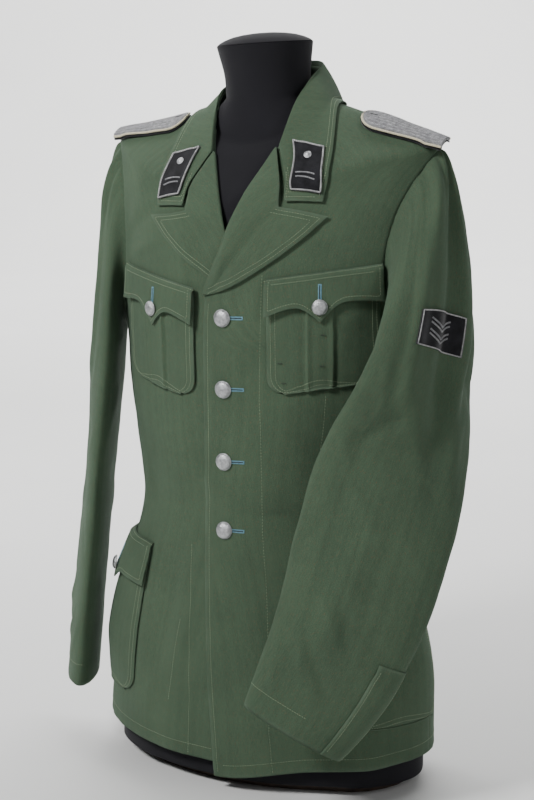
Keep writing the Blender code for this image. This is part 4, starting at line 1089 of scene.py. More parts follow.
# Columns: angle, to_angle, end, width, depth.
GATHERS = (
    (44.0, 50.0, 0.55, 3.0, 0.0022),
    (36.0, 41.0, 0.75, 3.2, -0.0024),
    (28.0, 30.0, 0.60, 2.8, 0.0022),
    (17.0, 16.0, 0.90, 3.4, -0.0030),
    (10.0, 6.0, 0.75, 3.0, 0.0026),
    (3.0, -3.0, 0.60, 2.6, -0.0020),
    (-5.0, -13.0, 0.85, 3.2, 0.0030),
    (-13.0, -23.0, 0.80, 3.0, -0.0028),
    (-21.0, -33.0, 0.70, 3.0, 0.0024),
    (-30.0, -44.0, 0.75, 3.2, -0.0026),
    (-39.0, -54.0, 0.60, 3.0, 0.0020),
    (-50.0, -64.0, 0.55, 3.4, -0.0018),
)
HEAD_VALLEYS = (
    (2.0, 0.00, 2.0, 0.60, 13.0, -0.0060),
    (2.0, 0.60, -8.0, 1.60, 16.0, -0.0040),
    (31.0, 0.15, 36.0, 0.90, 8.0, 0.0030),
    (36.0, 0.90, 20.0, 1.90, 9.0, 0.0030),
    (-36.0, 0.10, -44.0, 0.70, 9.0, 0.0030),
)
ARM_CREASES = HEAD_VALLEYS + (
    (39.0, 0.62, 26.0, 1.70, 7.0, 0.0034),
    (26.0, 0.60, 8.0, 1.90, 8.0, -0.0036),
    (-34.0, 0.45, -20.0, 1.50, 7.0, 0.0030),
    (-50.0, 0.80, -30.0, 2.10, 7.0, -0.0026),
    (58.0, 1.10, 36.0, 2.30, 7.0, 0.0024),
    (20.0, 2.20, 44.0, 3.10, 8.0, -0.0026),
    (2.0, 2.50, -20.0, 3.60, 7.5, 0.0024),
    (60.0, 3.00, 30.0, 3.90, 7.0, 0.0022),
    (-14.0, 3.40, -46.0, 3.90, 6.0, -0.0024),
    (24.0, 4.10, -4.0, 4.80, 6.5, 0.0026),
    (44.0, 4.60, 66.0, 5.20, 7.0, -0.0024),
    (-20.0, 4.70, -52.0, 5.20, 6.5, 0.0022),
    (14.0, 5.90, -6.3, 6.78, 4.5, -0.0032),
    (27.0, 6.10, 8.0, 6.60, 5.0, 0.0026),
    (28.5, 6.91, -4.4, 7.69, 4.5, -0.0034),
    (40.0, 6.70, 22.0, 7.50, 5.0, 0.0026),
    (-6.1, 6.40, -27.5, 6.43, 4.5, -0.0026),
    (-10.0, 6.90, -40.0, 6.95, 5.0, 0.0022),
    (60.0, 7.20, 40.0, 8.30, 6.0, 0.0020),
    (150.0, 2.00, 120.0, 3.00, 9.0, 0.0024),
    (200.0, 3.20, 160.0, 3.80, 9.0, -0.0026),
    (230.0, 4.20, 180.0, 4.60, 9.0, 0.0024),
    (140.0, 5.60, 190.0, 6.00, 9.0, -0.0022),
)
NEAR_ROW = {}
ROW_LENGTH = 0.052
ANGLE_WIDTH = 0.00105


def sleeve_small(side, angle, row):
    """Gathers at the head of a sleeve and creases down it."""
    total = 0.0
    turn = (angle + 150.0) % 360.0 - 150.0
    for centre, to_centre, end, wide, depth in GATHERS:
        if row < end:
            off = turn - centre - (to_centre - centre) * row / end
            if abs(off) < 3 * wide:
                fade = ease(-0.05, 0.06, row) * (1 - ease(0.25 * end, end, row))
                total += depth * fade * bump(off, wide * (1 + 1.6 * row))
    weak = 1.0 if side > 0 else 0.65
    key = int(row * 10)
    if key not in NEAR_ROW:
        NEAR_ROW[key] = [
            crease for crease in ARM_CREASES
            if min(crease[1], crease[3]) - 1.0 < row < max(crease[1], crease[3]) + 1.0
        ]
    for start_a, start_b, end_a, end_b, wide, depth in NEAR_ROW[key]:
        scaled = (start_a * ANGLE_WIDTH, start_b * ROW_LENGTH, end_a * ANGLE_WIDTH, end_b * ROW_LENGTH)
        total += weak * line_fold(
            turn * ANGLE_WIDTH, row * ROW_LENGTH, (*scaled, wide * ANGLE_WIDTH, depth * 0.8), 1.0
        )
    return total


def sleeve_centre(side, row):
    place = SLEEVES[side].read(row)
    return Vector((side * place["x"], place["y"], place["z"]))


def sleeve_ring(side, angle, row):
    """A point of a section at row 1 or more. Angle 0 is the outer side, 90 the front crease."""
    place = SLEEVES[side].read(row)
    if (side, row) not in RUNS:
        ahead = sleeve_centre(side, row + 0.5) - sleeve_centre(side, max(row - 0.5, 1.0))
        run = ahead.normalized()
        turn = math.radians(place["turn"])
        front = Vector((-side * math.sin(turn), -math.cos(turn), 0.0))
        front = (front - run * front.dot(run)).normalized()
        RUNS[(side, row)] = (sleeve_centre(side, row), run, front, run.cross(front) * -side)
    centre, run, front, outer = RUNS[(side, row)]
    sine, cosine = math.sin(math.radians(angle)), math.cos(math.radians(angle))
    spot = centre + front * place["half_width"] * sine + outer * place["half_thickness"] * cosine
    return spot, (front * sine + outer * cosine).normalized(), run


RUNS = {}


def armhole_spot(side, angle):
    """A point just inside the armhole's edge, where the sleeve is sewn on."""
    sine, cosine = math.sin(math.radians(angle)), math.cos(math.radians(angle))
    height = (ARMPIT_H + TIP_H) / 2 + (TIP_H - ARMPIT_H) / 2 * cosine
    swing = ARMHOLE_FRONT_ANGLE if sine > 0 else ARMHOLE_BACK_ANGLE
    turn = 90.0 - swing * sine
    return side * turn, height


def sleeve_base(side, angle, row):
    if row >= 1.0:
        spot, way, _ = sleeve_ring(side, angle, row)
        fold = sleeve_fold(side, angle, row)
        return spot + way * fold
    turn, height = armhole_spot(side, angle)
    start = body(turn, height)
    middle = body(side * 90.0, (ARMPIT_H + TIP_H) / 2)
    inward = (middle - start)
    normal = body_normal(turn, height)
    inward = (inward - normal * inward.dot(normal)).normalized()
    start = start + inward * SEAM_GAP * 2.4
    end, way, run = sleeve_ring(side, angle, 1.0)
    reach = (end - start).length
    top = (1 + math.cos(math.radians(angle))) / 2
    leave = (normal * 0.4 + Vector((side, 0, -0.15))).normalized()
    first = start + leave * (0.006 + 0.016 * top)
    second = end - run * reach * 0.40
    share = row
    spot = (
        start * (1 - share) ** 3
        + first * 3 * share * (1 - share) ** 2
        + second * 3 * share**2 * (1 - share)
        + end * share**3
    )
    fold = sleeve_fold(side, angle, row)
    return spot + (way * 0.6 + normal * 0.4).normalized() * fold


def sleeve_fold(side, angle, row):
    total = 0.0
    for start, end, start_angle, end_angle, wide, depth in SLEEVE_FOLDS:
        if start < row < end:
            share = (row - start) / (end - start)
            centre = start_angle + (end_angle - start_angle) * share
            turn = (angle - centre + 180.0) % 360.0 - 180.0
            fade = ease(0.0, 0.12, share) * (1 - ease(0.55, 1.0, share))
            total += depth * fade * bump(turn, wide)
    return total * (1.0 if side > 0 else 0.7) + sleeve_small(side, angle, row)


def sleeve(side, angle, row, out=0.0):
    spot = sleeve_base(side, angle, row)
    if not out:
        return spot
    over = sleeve_base(side, angle + 2.0, row) - sleeve_base(side, angle - 2.0, row)
    low, high = max(row - 0.03, 0.0), min(row + 0.03, SLEEVE_END)
    down = sleeve_base(side, angle, high) - sleeve_base(side, angle, low)
    return spot + over.cross(down).normalized() * out * side


def uneven_sleeve(side, angle, row, out):
    """The sleeve with its unevenness, and under row 0 the seam allowance inside the armhole."""
    if row < 0.0:
        turn, height = armhole_spot(side, angle)
        normal = body_normal(turn, height)
        middle = body(side * 90.0, (ARMPIT_H + TIP_H) / 2)
        away = body(turn, height) - middle
        away = (away - normal * away.dot(normal)).normalized()
        sunk = 0.0004 + 0.0022 * ease(0.0, -0.02, row)
        return sleeve_base(side, angle, 0.0) - away * row * 0.12 - normal * (sunk - out)
    spot = sleeve(side, angle, row, 0.0)
    rough = unevenness(spot + Vector((side * 0.3, 0.0, 0.0))) * 0.8 * ease(0.0, 0.4, row)
    total = out + rough
    over = sleeve_base(side, angle + 2.0, row) - sleeve_base(side, angle - 2.0, row)
    low, high = max(row - 0.03, 0.0), min(row + 0.03, SLEEVE_END)
    down = sleeve_base(side, angle, high) - sleeve_base(side, angle, low)
    return spot + over.cross(down).normalized() * total * side

# %% [markdown]
# The rows are closer together at the gathered head. At the cuff the cloth turns inwards as a
# hem, so the tube ends in a rounded rim with a second layer just inside it.

# %% Sleeves and cuff plackets
HEAD_ROWS = [-0.05, -0.03, -0.02, -0.01, 0.0, 0.008, 0.016] + [part / 40 for part in range(1, 40)]
ARM_ROWS = [1.0 + (SLEEVE_END - 1.0) * part / 128 for part in range(129)]
ROUND_ARM = [-180.0 + 360.0 * part / 104 for part in range(105)]
sleeves = {}
for side, name in ((1, "left"), (-1, "right")):
    sleeves[name] = cloth(
        name + "_sleeve_cloth",
        lambda angle, row, out: uneven_sleeve(side, angle, row, out),
        ROUND_ARM, HEAD_ROWS + ARM_ROWS, ["sleeve_" + name],
        edges="t", closed=True, pucker=0.00024, seed=11.0 + side,
    )

    def second_layer(angle, row, out):
        return uneven_sleeve(side, angle, min(row, SLEEVE_END), -0.0020 + out) + Vector(
            (0.0, 0.0, -0.0022 * ease(SLEEVE_END - 0.05, SLEEVE_END, row))
        )

    cloth(
        name + "_cuff_hem_cloth", second_layer, ROUND_ARM,
        steps_between(SLEEVE_END - 0.75, SLEEVE_END, 8), edges="t", closed=True, seed=13.0 + side,
    )

    def placket(angle, row, out):
        return uneven_sleeve(side, angle, row, LAY_GAP + CLOTH + out)

    cloth(
        name + "_cuff_placket_cloth", placket, steps_between(-90.0, -36.0, 16),
        steps_between(6.8, SLEEVE_END, 36, 2, 2), ["cuff_placket_" + name], seed=15.0 + side,
    )

# %% [markdown]
# The chest pockets are patches with a box pleat down the middle: a band 25 mm wide whose two
# folded edges stand proud. The flap over each is cut to three points and sewn on above it.

# %% Chest pockets and flaps
CHEST_POCKETS = {
    "left": (1, 0.0490, 0.1570, 0.5850, 0.6020, 0.130),
    "right": (-1, 0.0385, 0.1470, 0.5710, 0.5880, 0.126),
}
POCKET_CORNER = 0.020
PLEAT_HALF = 0.0125
PLEAT_RISE = 0.0012
CHEST_FLAP = (0.040, 0.034, 0.054)
FLAP_SEAM = 0.004


def corner_cut(distance, radius):
    """How far a rounded corner draws the edge in, at a distance from the end."""
    if distance >= radius:
        return 0.0
    return radius - math.sqrt(radius**2 - (radius - distance) ** 2)


def chest_spot(pocket, across, down):
    """(angle, height) on a chest pocket: across 0 to 1 from its inner edge, down in metres."""
    side, inner_x, outer_x, inner_z, outer_z, _ = pocket
    x = side * (inner_x + (outer_x - inner_x) * across)
    z = inner_z + (outer_z - inner_z) * across - down
    return on_front(x, z)


def flap_length(shape, across):
    """The length of a three-pointed flap at a place across it."""
    side, hollow, point = shape
    from_point = abs(across - 0.5) * 2
    if from_point < 0.45:
        return point + (hollow - point) * math.sin(math.pi / 2 * from_point / 0.45) ** 0.9
    return hollow + (side - hollow) * (1 - math.cos(math.pi / 2 * (from_point - 0.45) / 0.55))


def over_pocket(down):
    """How far a flap rises from the front it is sewn on, to pass over the pocket's top edge."""
    return (CLOTH + LAY_GAP + 0.0008) * min(1.0, max(0.0, down - FLAP_SEAM) / 0.005)


FLAP_COLUMNS = sorted(set(steps_between(0.0, 1.0, 40, 2, 2) + [0.5, 0.49, 0.51]))


def chest_pocket_place(pocket):
    inner_x, outer_x, height = pocket[1], pocket[2], pocket[5]
    width = outer_x - inner_x

    def place(across, down, out):
        cut = corner_cut(height - down, POCKET_CORNER) / width
        spread = cut + (1 - 2 * cut) * across
        angle, level = chest_spot(pocket, spread, down)
        away = abs(spread - 0.5) * width
        pleat = PLEAT_RISE * ease(PLEAT_HALF + 0.0016, PLEAT_HALF, away)
        crest = 0.0012 * bump(away - PLEAT_HALF + 0.001, 0.0018)
        valley = 0.0008 * bump(away - PLEAT_HALF - 0.003, 0.002)
        pleat += crest - valley
        rise = 0.0024 * math.sin(math.pi * spread) * math.sin(math.pi * min(1.0, down / height))
        return body(angle, level, CLOTH + LAY_GAP + rise + pleat + out)

    return place


def chest_flap_out(down, share):
    over = over_pocket(down + FLAP_SEAM) * 1.55
    return CLOTH + SEAM_GAP + over + 0.0034 * share**1.5


def chest_flap_place(pocket):
    def place(across, share, out):
        spread = -0.012 + 1.024 * across
        down = flap_length(CHEST_FLAP, across) * share
        angle, level = chest_spot(pocket, spread, down + FLAP_SEAM)
        return body(angle, level, chest_flap_out(down, share) + out)

    return place


def pocket_rows(height, steps):
    """Rows down a pocket, from under its flap, close together round the lower corners."""
    corner_rows = [height - 0.020 * part / 12 for part in range(12)]
    return sorted(set(steps_between(0.010, height - 0.020, steps) + corner_rows)) + [height - 0.0002]


chest_pockets, chest_flaps = {}, {}
for name, pocket in CHEST_POCKETS.items():
    side, inner_x, outer_x, inner_z, outer_z, height = pocket
    width = outer_x - inner_x
    near = [
        0.5 + way * (PLEAT_HALF + part) / width
        for way in (-1, 1) for part in (0.0, 0.0012, 0.0025, -0.0012)
    ]
    columns = sorted(set(steps_between(0.0, 1.0, 36, 2, 2) + near))
    rows = pocket_rows(height, 32)
    chest_pockets[name] = cloth(
        name + "_chest_pocket_cloth", chest_pocket_place(pocket), columns, rows,
        ["chest_pocket_" + name], edges="lrt", seed=20.0 + side,
    )
    chest_flaps[name] = cloth(
        name + "_chest_flap_cloth", chest_flap_place(pocket), FLAP_COLUMNS,
        steps_between(0.0, 1.0, 18, 0, 2), ["chest_flap_" + name], edges="lrbt", seed=22.0 + side,
    )

# %% [markdown]
# The hip pockets are larger bags that swell a little over the side seam, with flaps of the same
# cut as the chest flaps.

# %% Hip pockets and flaps
HIP_FRONT_ANGLE = 40.0
HIP_REAR_ANGLE = 97.0
HIP_TOP_Z = 0.272
HIP_BOTTOM_Z = 0.086
HIP_BULGE = 0.006
HIP_FLAP = (0.052, 0.048, 0.062)


def hip_spot(side, across, down):
    angle = side * (HIP_FRONT_ANGLE + (HIP_REAR_ANGLE - HIP_FRONT_ANGLE) * across)
    return angle, height_at(angle, HIP_TOP_Z - down)


HIP_HEIGHT = HIP_TOP_Z - HIP_BOTTOM_Z
HIP_WIDTH = 0.155


def hip_swell(across, down):
    return HIP_BULGE * (math.sin(math.pi * across) * math.sin(math.pi * down / HIP_HEIGHT)) ** 0.6


def hip_pocket_place(side):
    def place(across, down, out):
        cut = corner_cut(HIP_HEIGHT - down, POCKET_CORNER) / HIP_WIDTH
        spread = cut + (1 - 2 * cut) * across
        angle, level = hip_spot(side, spread, down)
        inside = min(1.0, max(0.0, spread)), min(HIP_HEIGHT, max(0.0, down))
        return body(angle, level, CLOTH + LAY_GAP * 1.4 + hip_swell(*inside) + out)

    return place


def hip_flap_out(across, share):
    down = flap_length(HIP_FLAP, across) * share
    inside = min(1.0, max(0.0, across))
    swell = hip_swell(inside, down + FLAP_SEAM) * min(1.0, down / 0.006)
    return CLOTH + 0.0009 + over_pocket(down + FLAP_SEAM) + swell + 0.0034 * share**1.5


def hip_flap_place(side):
    def place(across, share, out):
        spread = -0.015 + 1.03 * across
        down = flap_length(HIP_FLAP, across) * share
        angle, level = hip_spot(side, spread, down + FLAP_SEAM)
        return body(angle, level, hip_flap_out(spread, share) + out)

    return place


hip_pockets, hip_flaps = {}, {}
for side, name in ((1, "left"), (-1, "right")):
    rows = pocket_rows(HIP_HEIGHT, 44)
    hip_pockets[name] = cloth(
        name + "_hip_pocket_cloth", hip_pocket_place(side), steps_between(0.0, 1.0, 46, 2, 2), rows,
        ["hip_pocket_" + name], edges="lrt", seed=24.0 + side,
    )
    hip_flaps[name] = cloth(
        name + "_hip_flap_cloth", hip_flap_place(side), FLAP_COLUMNS,
        steps_between(0.0, 1.0, 18, 0, 2), ["hip_flap_" + name], edges="lrbt", seed=26.0 + side,
    )

# %% [markdown]
# The dress form is a padded torso without limbs, covered in black jersey. It is one smooth
# surface from the foot to the neck, and a domed cap of the same jersey closes the neck.

# %% The dress form
FORM_NECK_COLUMNS = ("radius", "centre_x", "centre_y", "z")
FORM_NECK = (
    (0.0470, -0.0040, 0.0080, 0.7670),
    (0.0475, -0.0040, 0.0055, 0.7900),
    (0.0530, -0.0040, -0.0015, 0.8260),
)
FORM_NECK_LEAN = 0.07
FORM_BASE = 0.012


def form_inset(height):
    deep = 0.0115 - 0.003 * ease(0.30, 0.50, height)
    shoulder = deep + (CLOTH + 0.0011 - deep) * ease(0.655, 0.712, height)
    return shoulder + 0.0045 * ease(0.750, NECK_H, height)


def neck_spot(angle, ring, wider=0.0):
    row = dict(zip(FORM_NECK_COLUMNS, ring))
    turn = math.radians(angle)
    across = (row["radius"] + wider) * math.sin(turn)
    along = (row["radius"] + wider) * math.cos(turn)
    rise = FORM_NECK_LEAN * across * ease(0.77, 0.82, row["z"])
    return Vector((row["centre_x"] + across, row["centre_y"] - along, row["z"] + rise))


FORM_LEVELS = [("foot", FORM_BASE + SEAM_GAP), ("foot", 0.030), ("foot", 0.055)]
FORM_LEVELS += [("body", 0.10 + (0.70 - 0.10) * part / 24) for part in range(25)]
FORM_LEVELS += [("body", 0.70 + (NECK_H - 0.70) * part / 10) for part in range(1, 11)]
NECK = Table(("at", *FORM_NECK_COLUMNS), [(float(i), *row) for i, row in enumerate(FORM_NECK)])
FORM_LEVELS += [("neck", part / 8 * 2) for part in range(9)]


def form_place(angle, ring, out):
    kind, level = FORM_LEVELS[int(ring)]
    if kind == "neck":
        row = NECK.read(level)
        return neck_spot(angle, tuple(row[name] for name in FORM_NECK_COLUMNS), out)
    if kind == "foot":
        spot = body(angle, 0.080, -form_inset(0.080) + out)
        return Vector((spot.x, spot.y, level))
    return body(angle, level, -form_inset(level) + out)


cloth(
    "form_torso_jersey", form_place, [-180.0 + 360.0 * part / 96 for part in range(97)],
    list(range(len(FORM_LEVELS))), ["form_torso"], edges="", wall=0.0, closed=True,
    material=BLACK_JERSEY,
)


def spun(name, profile, spot, axis, material, replaces=(), steps=48, dents=0.0):
    """A turned piece: the profile's (radius, height) pairs spun about an axis through spot."""
    maker = bmesh.new()
    corners = [maker.verts.new((radius, 0.0, height)) for radius, height in profile]
    edges = [maker.edges.new(pair) for pair in zip(corners, corners[1:])]
    bmesh.ops.spin(
        maker, geom=corners + edges, cent=(0, 0, 0), axis=(0, 0, 1), angle=2 * math.pi,
        steps=steps, use_merge=True, use_duplicate=False,
    )
    bmesh.ops.remove_doubles(maker, verts=maker.verts[:], dist=0.00001)
    bmesh.ops.recalc_face_normals(maker, faces=maker.faces[:])
    for corner in maker.verts:
        if dents:
            corner.co += corner.co.normalized() * dents * noise.noise(corner.co * 1300.0 + Vector(spot) * 90)
    turn = Vector(axis).to_track_quat("Z", "Y").to_matrix().to_4x4()
    bmesh.ops.transform(maker, matrix=Matrix.Translation(spot) @ turn, verts=maker.verts[:])
    mesh = bpy.data.meshes.new(name)
    maker.to_mesh(mesh)
    maker.free()
    mesh.shade_smooth()
    mesh.set_sharp_from_angle(angle=math.radians(40))
    return in_scene(name, mesh, material, replaces)


NECK_TOP = FORM_NECK[-1]
CAP_PROFILE = [(0.0, 0.0120), (0.012, 0.0117), (0.024, 0.0106), (0.035, 0.0086), (0.044, 0.0056)]
CAP_PROFILE += [(0.0500, 0.0026), (0.0526, 0.0004), (0.0526, 0.0), (0.0, 0.0)]
spun(
    "form_neck_cap_jersey", CAP_PROFILE, (NECK_TOP[1], NECK_TOP[2], NECK_TOP[3] + SEAM_GAP),
    (-FORM_NECK_LEAN, 0.0, 1.0), BLACK_JERSEY, ["form_neck_cap"],
)
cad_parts["form_foot_plate"].data.materials[0] = DARK_WOOD

# %% [markdown]
# The buttons are domed and hammered, with a narrow rim. Each is spun from its profile and then
# dented a little, and it sits where its solid sits, on the surface and square to it.

# %% Buttons
BUTTON_X = -0.001
BUTTON_HEIGHTS = (0.5365, 0.4580, 0.3775, 0.3000)
BUTTON_RADIUS = 0.0098
POCKET_BUTTON_RADIUS = 0.0085
BUTTON_GAP = 0.0006


def domed(radius):
    tall = radius * 0.50
    dome = [(radius * 0.90 * math.sin(math.radians(part * 9.0)), part * 9.0) for part in range(11)]
    profile = [(reach, tall * 0.30 + tall * 0.70 * math.cos(math.radians(turn))) for reach, turn in dome]
    profile += [(radius * 0.935, tall * 0.25), (radius * 0.97, tall * 0.27), (radius, tall * 0.20)]
    return profile + [(radius * 0.985, tall * 0.06), (radius * 0.95, 0.0), (0.0, 0.0)]


def button(name, angle, height, out, radius):
    spot = body(angle, height, out + BUTTON_GAP)
    return spun(
        name + "_hammered", domed(radius), spot, body_normal(angle, height), GREY_ALLOY,
        [name], steps=40, dents=0.00016,
    )


for number, z in enumerate(BUTTON_HEIGHTS, start=1):
    button(f"front_button_{number}", *on_front(BUTTON_X, z), 0.0, BUTTON_RADIUS)
for name, pocket in CHEST_POCKETS.items():
    down = CHEST_FLAP[2] - 0.014
    out = chest_flap_out(down, down / CHEST_FLAP[2]) + 0.0008
    button("chest_button_" + name, *chest_spot(pocket, 0.5, down), out, POCKET_BUTTON_RADIUS)
for side, name in ((1, "left"), (-1, "right")):
    out = hip_flap_out(0.5, (HIP_FLAP[2] - 0.018) / HIP_FLAP[2]) + 0.0018
    button("hip_button_" + name, *hip_spot(side, 0.5, HIP_FLAP[2] - 0.014), out, POCKET_BUTTON_RADIUS)

# %% [markdown]
# Sewing is what makes cloth read as cloth. Every stitch is a small rounded bead of thread, laid
# along a line at a set distance inside an edge, and snapped to the finished cloth, so it sits on
# every pucker. A run of stitches is one mesh, because thousands of objects would be slow.

# %% Helpers for thread


def inset(name, letter, away, keep="", low=-1.0, high=99.0):
    """A line inside one border of a piece of cloth: l, r, b or t, at a distance from it."""
    across, along, spots, over, down = GRIDS[name]
    wide, tall = len(across), len(along)
    found = []
    for step in range(tall if letter in "lr" else wide):
        if letter in "lr":
            lengths = [over[i][step] for i in range(wide)]
            line = [spots[i][step] for i in range(wide)]
        else:
            lengths, line = down[step], spots[step]
        if letter in "rt":
            lengths = [lengths[-1] - value for value in lengths][::-1]
            line = line[::-1]
        value = along[step] if letter in "lr" else across[step]
        if not low <= value <= high or lengths[-1] < 2 * away:
            continue
        at = next(i for i, value in enumerate(lengths) if value >= away)
        share = (away - lengths[at - 1]) / (lengths[at] - lengths[at - 1])
        if letter in "lr":
            i = at if letter == "l" else wide - 1 - at
            ends = {"b": down[i][step], "t": down[i][-1] - down[i][step]}
        else:
            j = at if letter == "b" else tall - 1 - at
            ends = {"l": over[step][j], "r": over[-1][j] - over[step][j]}
        if all(ends[other] >= away * 0.98 for other in keep):
            found.append(line[at - 1].lerp(line[at], share))
    return found


def between(place, corners, step=0.002):
    """Points on a surface along straight runs between (a, b) corners."""
    found = []
    for start, end in zip(corners, corners[1:]):
        long = (place(*end, 0.0) - place(*start, 0.0)).length
        count = max(2, round(long / step))
        found += [place(*mix(start, end, part / count), 0.0) for part in range(count)]
    return found + [place(*corners[-1], 0.0)]


def evenly(line, pitch):
    """(point, way along) at even distances along a line of points."""
    found, carried = [], 0.0
    for start, end in zip(line, line[1:]):
        long = (end - start).length
        if long < 1e-7:
            continue
        while carried <= long:
            found.append((start.lerp(end, carried / long), (end - start) / long))
            carried += pitch
        carried -= long
    return found


def bead(maker, spot, way, up, sizes):
    """One stitch: a rounded bead with its length along way."""
    long, wide, tall = sizes
    side = up.cross(way).normalized()
    turn = Matrix((way * long, side * wide, side.cross(way).normalized() * -tall)).transposed()
    matrix = Matrix.Translation(spot) @ turn.to_4x4()
    bmesh.ops.create_icosphere(maker, subdivisions=1, radius=0.5, matrix=matrix)


def on_skin(name, spot):
    """The nearest place on a piece of cloth, and the way out there."""
    place, normal, _, _ = SKINS[name].find_nearest(spot)
    return place, normal


def thread_piece(name, maker, finish):
    mesh = bpy.data.meshes.new(name)
    bmesh.ops.recalc_face_normals(maker, faces=maker.faces[:])
    maker.to_mesh(mesh)
    maker.free()
    mesh.shade_smooth()
    return in_scene(name, mesh, finish)


def sew(name, on, lines, finish=None, pitch=0.0030, sizes=(0.0022, 0.00062, 0.00046), turn=0.0):
    maker = bmesh.new()
    count = 0
    for line in lines:
        for spot, way in evenly(line, pitch):
            place, up = on_skin(on, spot)
            way = (way - up * way.dot(up)).normalized()
            if turn:
                way = Matrix.Rotation(turn, 3, up) @ way
            bead(maker, place + up * sizes[2] * 0.30, way, up, sizes)
            count += 1
    print(name, count, "stitches")
    return thread_piece(name, maker, finish or PALE_THREAD)

# %% [markdown]
# The seams of this jacket are topstitched: one row inside the front edge and above the hem, two
# rows round the collar, lapels, pockets and flaps, one along the edge of the facing inside.

# %% Topstitching of the body


def left_front_at(angle, height, out):
    return front_surface(1, angle, height, out)


def right_front_at(angle, height, out):
    return front_surface(-1, angle, height, out)


FACING_LINE = ((16.8, 0.600), (15.6, 0.450), (17.2, 0.338), (16.6, 0.227), (16.4, 0.086), (17.6, 0.046))
DART_LINE = ((40.7, 0.456), (40.5, 0.419), (40.3, 0.374), (40.0, 0.300))
RIGHT_FACING = ((-16.9, 0.276), (-14.6, 0.214), (-12.9, 0.103), (-13.1, 0.046))
RIGHT_DART = ((-18.6, 0.189), (-20.3, 0.131), (-21.7, 0.097))
EDGE_STITCH, HEM_STITCH = 0.0062, 0.0145
sew("left_front_stitches", "left_front_cloth", [
    inset("left_front_cloth", "l", EDGE_STITCH, low=HEM_H + 0.006, high=BREAK_H - 0.010),
    inset("left_front_cloth", "b", HEM_STITCH, "l"),
])
sew("left_front_seams", "left_front_cloth", [
    between(left_front_at, FACING_LINE), between(left_front_at, DART_LINE),
], pitch=0.0034, sizes=(0.0022, 0.0005, 0.0004))
sew("right_front_stitches", "right_front_cloth", [
    inset("right_front_cloth", "b", HEM_STITCH),
    between(right_front_at, RIGHT_FACING), between(right_front_at, RIGHT_DART),
])
sew("back_hem_stitches", "back_cloth", [inset("back_cloth", "b", HEM_STITCH)])
for name in ("left", "right"):
    piece = name + "_lapel_cloth"
    sew(name + "_lapel_stitches", piece, [
        inset(piece, "r", away, "t", low=0.02) + inset(piece, "t", away, "r", low=0.5)[::-1]
        for away in (0.0050, 0.0105)
    ])
    for kind, away_pair in (("_chest_pocket", (0.0048, 0.0100)), ("_hip_pocket", (0.0048, 0.0100))):
        piece = name + kind + "_cloth"
        sew(name + kind + "_stitches", piece, [
            inset(piece, "l", away, "t") + inset(piece, "t", away, "lr") + inset(piece, "r", away, "t")[::-1]
            for away in away_pair
        ])
    for kind in ("_chest_flap", "_hip_flap"):
        piece = name + kind + "_cloth"
        sew(name + kind + "_stitches", piece, [
            inset(piece, "l", 0.0050, "bt") + inset(piece, "t", 0.0050, "lr")
            + inset(piece, "r", 0.0050, "bt")[::-1],
            inset(piece, "b", 0.0028), inset(piece, "b", 0.0085, "lr"),
        ])
    piece = name + "_cuff_placket_cloth"
    sew(name + "_placket_stitches", piece, [
        inset(piece, letter, 0.0040, "bt") for letter in "lrb"
    ])
    piece = name + "_sleeve_cloth"
    sew(name + "_cuff_stitches", piece, [inset(piece, "t", 0.0260)])
sew("collar_stitches", "collar_fall_cloth", [
    inset("collar_fall_cloth", letter, away, keep, low=low)
    for away in (0.0050, 0.0105)
    for letter, keep, low in (("l", "t", 0.25), ("t", "lr", -1.0), ("r", "t", 0.25))
])

# %% [markdown]
# A buttonhole is a slit whose edges are wound with silk: short beads side by side across the
# slit's edges, a bar at its end, and between them near-black beads of painted shade in the slit.

# %% Buttonholes
SILK_PITCH = 0.00060
HOLE_HALF = 0.00125


def buttonhole(name, on, start, end):
    silk, slit_shade = bmesh.new(), bmesh.new()
    steps = evenly([start.lerp(end, part / 20) for part in range(21)], SILK_PITCH)
    for spot, way in steps:
        place, up = on_skin(on, spot)
        way = (way - up * way.dot(up)).normalized()
        side = up.cross(way).normalized()
        for turn in (-1, 1):
            seat, out = on_skin(on, place + side * turn * HOLE_HALF)
            bead(silk, seat + out * 0.00022, side, out, (0.0019, 0.00064, 0.0007))
        # A near-black bead down the middle of the slit: painted shade in the opening.
        bead(slit_shade, place + up * 0.0001, way, up, (0.0014, 0.0009, 0.0006))
    for spot, way in (steps[-1], steps[-2]):
        place, up = on_skin(on, spot)
        side = up.cross(way).normalized()
        bead(silk, place + up * 0.0003, side, up, (0.0044, 0.0008, 0.0009))
    thread_piece(name + "_silk", silk, BLUE_SILK)
    thread_piece(name + "_slit", slit_shade, SLIT_SHADE_AND_DARK_THREAD)


def front_spot(x, z):
    return body(*on_front(x, z))


for number, z in enumerate(BUTTON_HEIGHTS, start=1):
    start, end = front_spot(BUTTON_X - 0.003, z), front_spot(BUTTON_X + 0.0240, z + 0.0010)
    buttonhole(f"front_buttonhole_{number}", "left_front_cloth", start, end)
for name, pocket in CHEST_POCKETS.items():
    down = CHEST_FLAP[2] - 0.014
    spots = [chest_spot(pocket, 0.5, down - lift) for lift in (-0.003, 0.0235)]
    ends = [body(*spot, 0.006) for spot in spots]
    buttonhole("chest_buttonhole_" + name, name + "_chest_flap_cloth", *ends)
for side, name in ((1, "left"), (-1, "right")):
    down = HIP_FLAP[2] - 0.014
    spots = [hip_spot(side, 0.5, down - lift) for lift in (-0.003, 0.0235)]
    ends = [body(*spot, 0.010) for spot in spots]
    buttonhole("hip_buttonhole_" + name, name + "_hip_flap_cloth", *ends)

# %% [markdown]
# Four small thread loops are sewn on the left chest pocket, two by two.

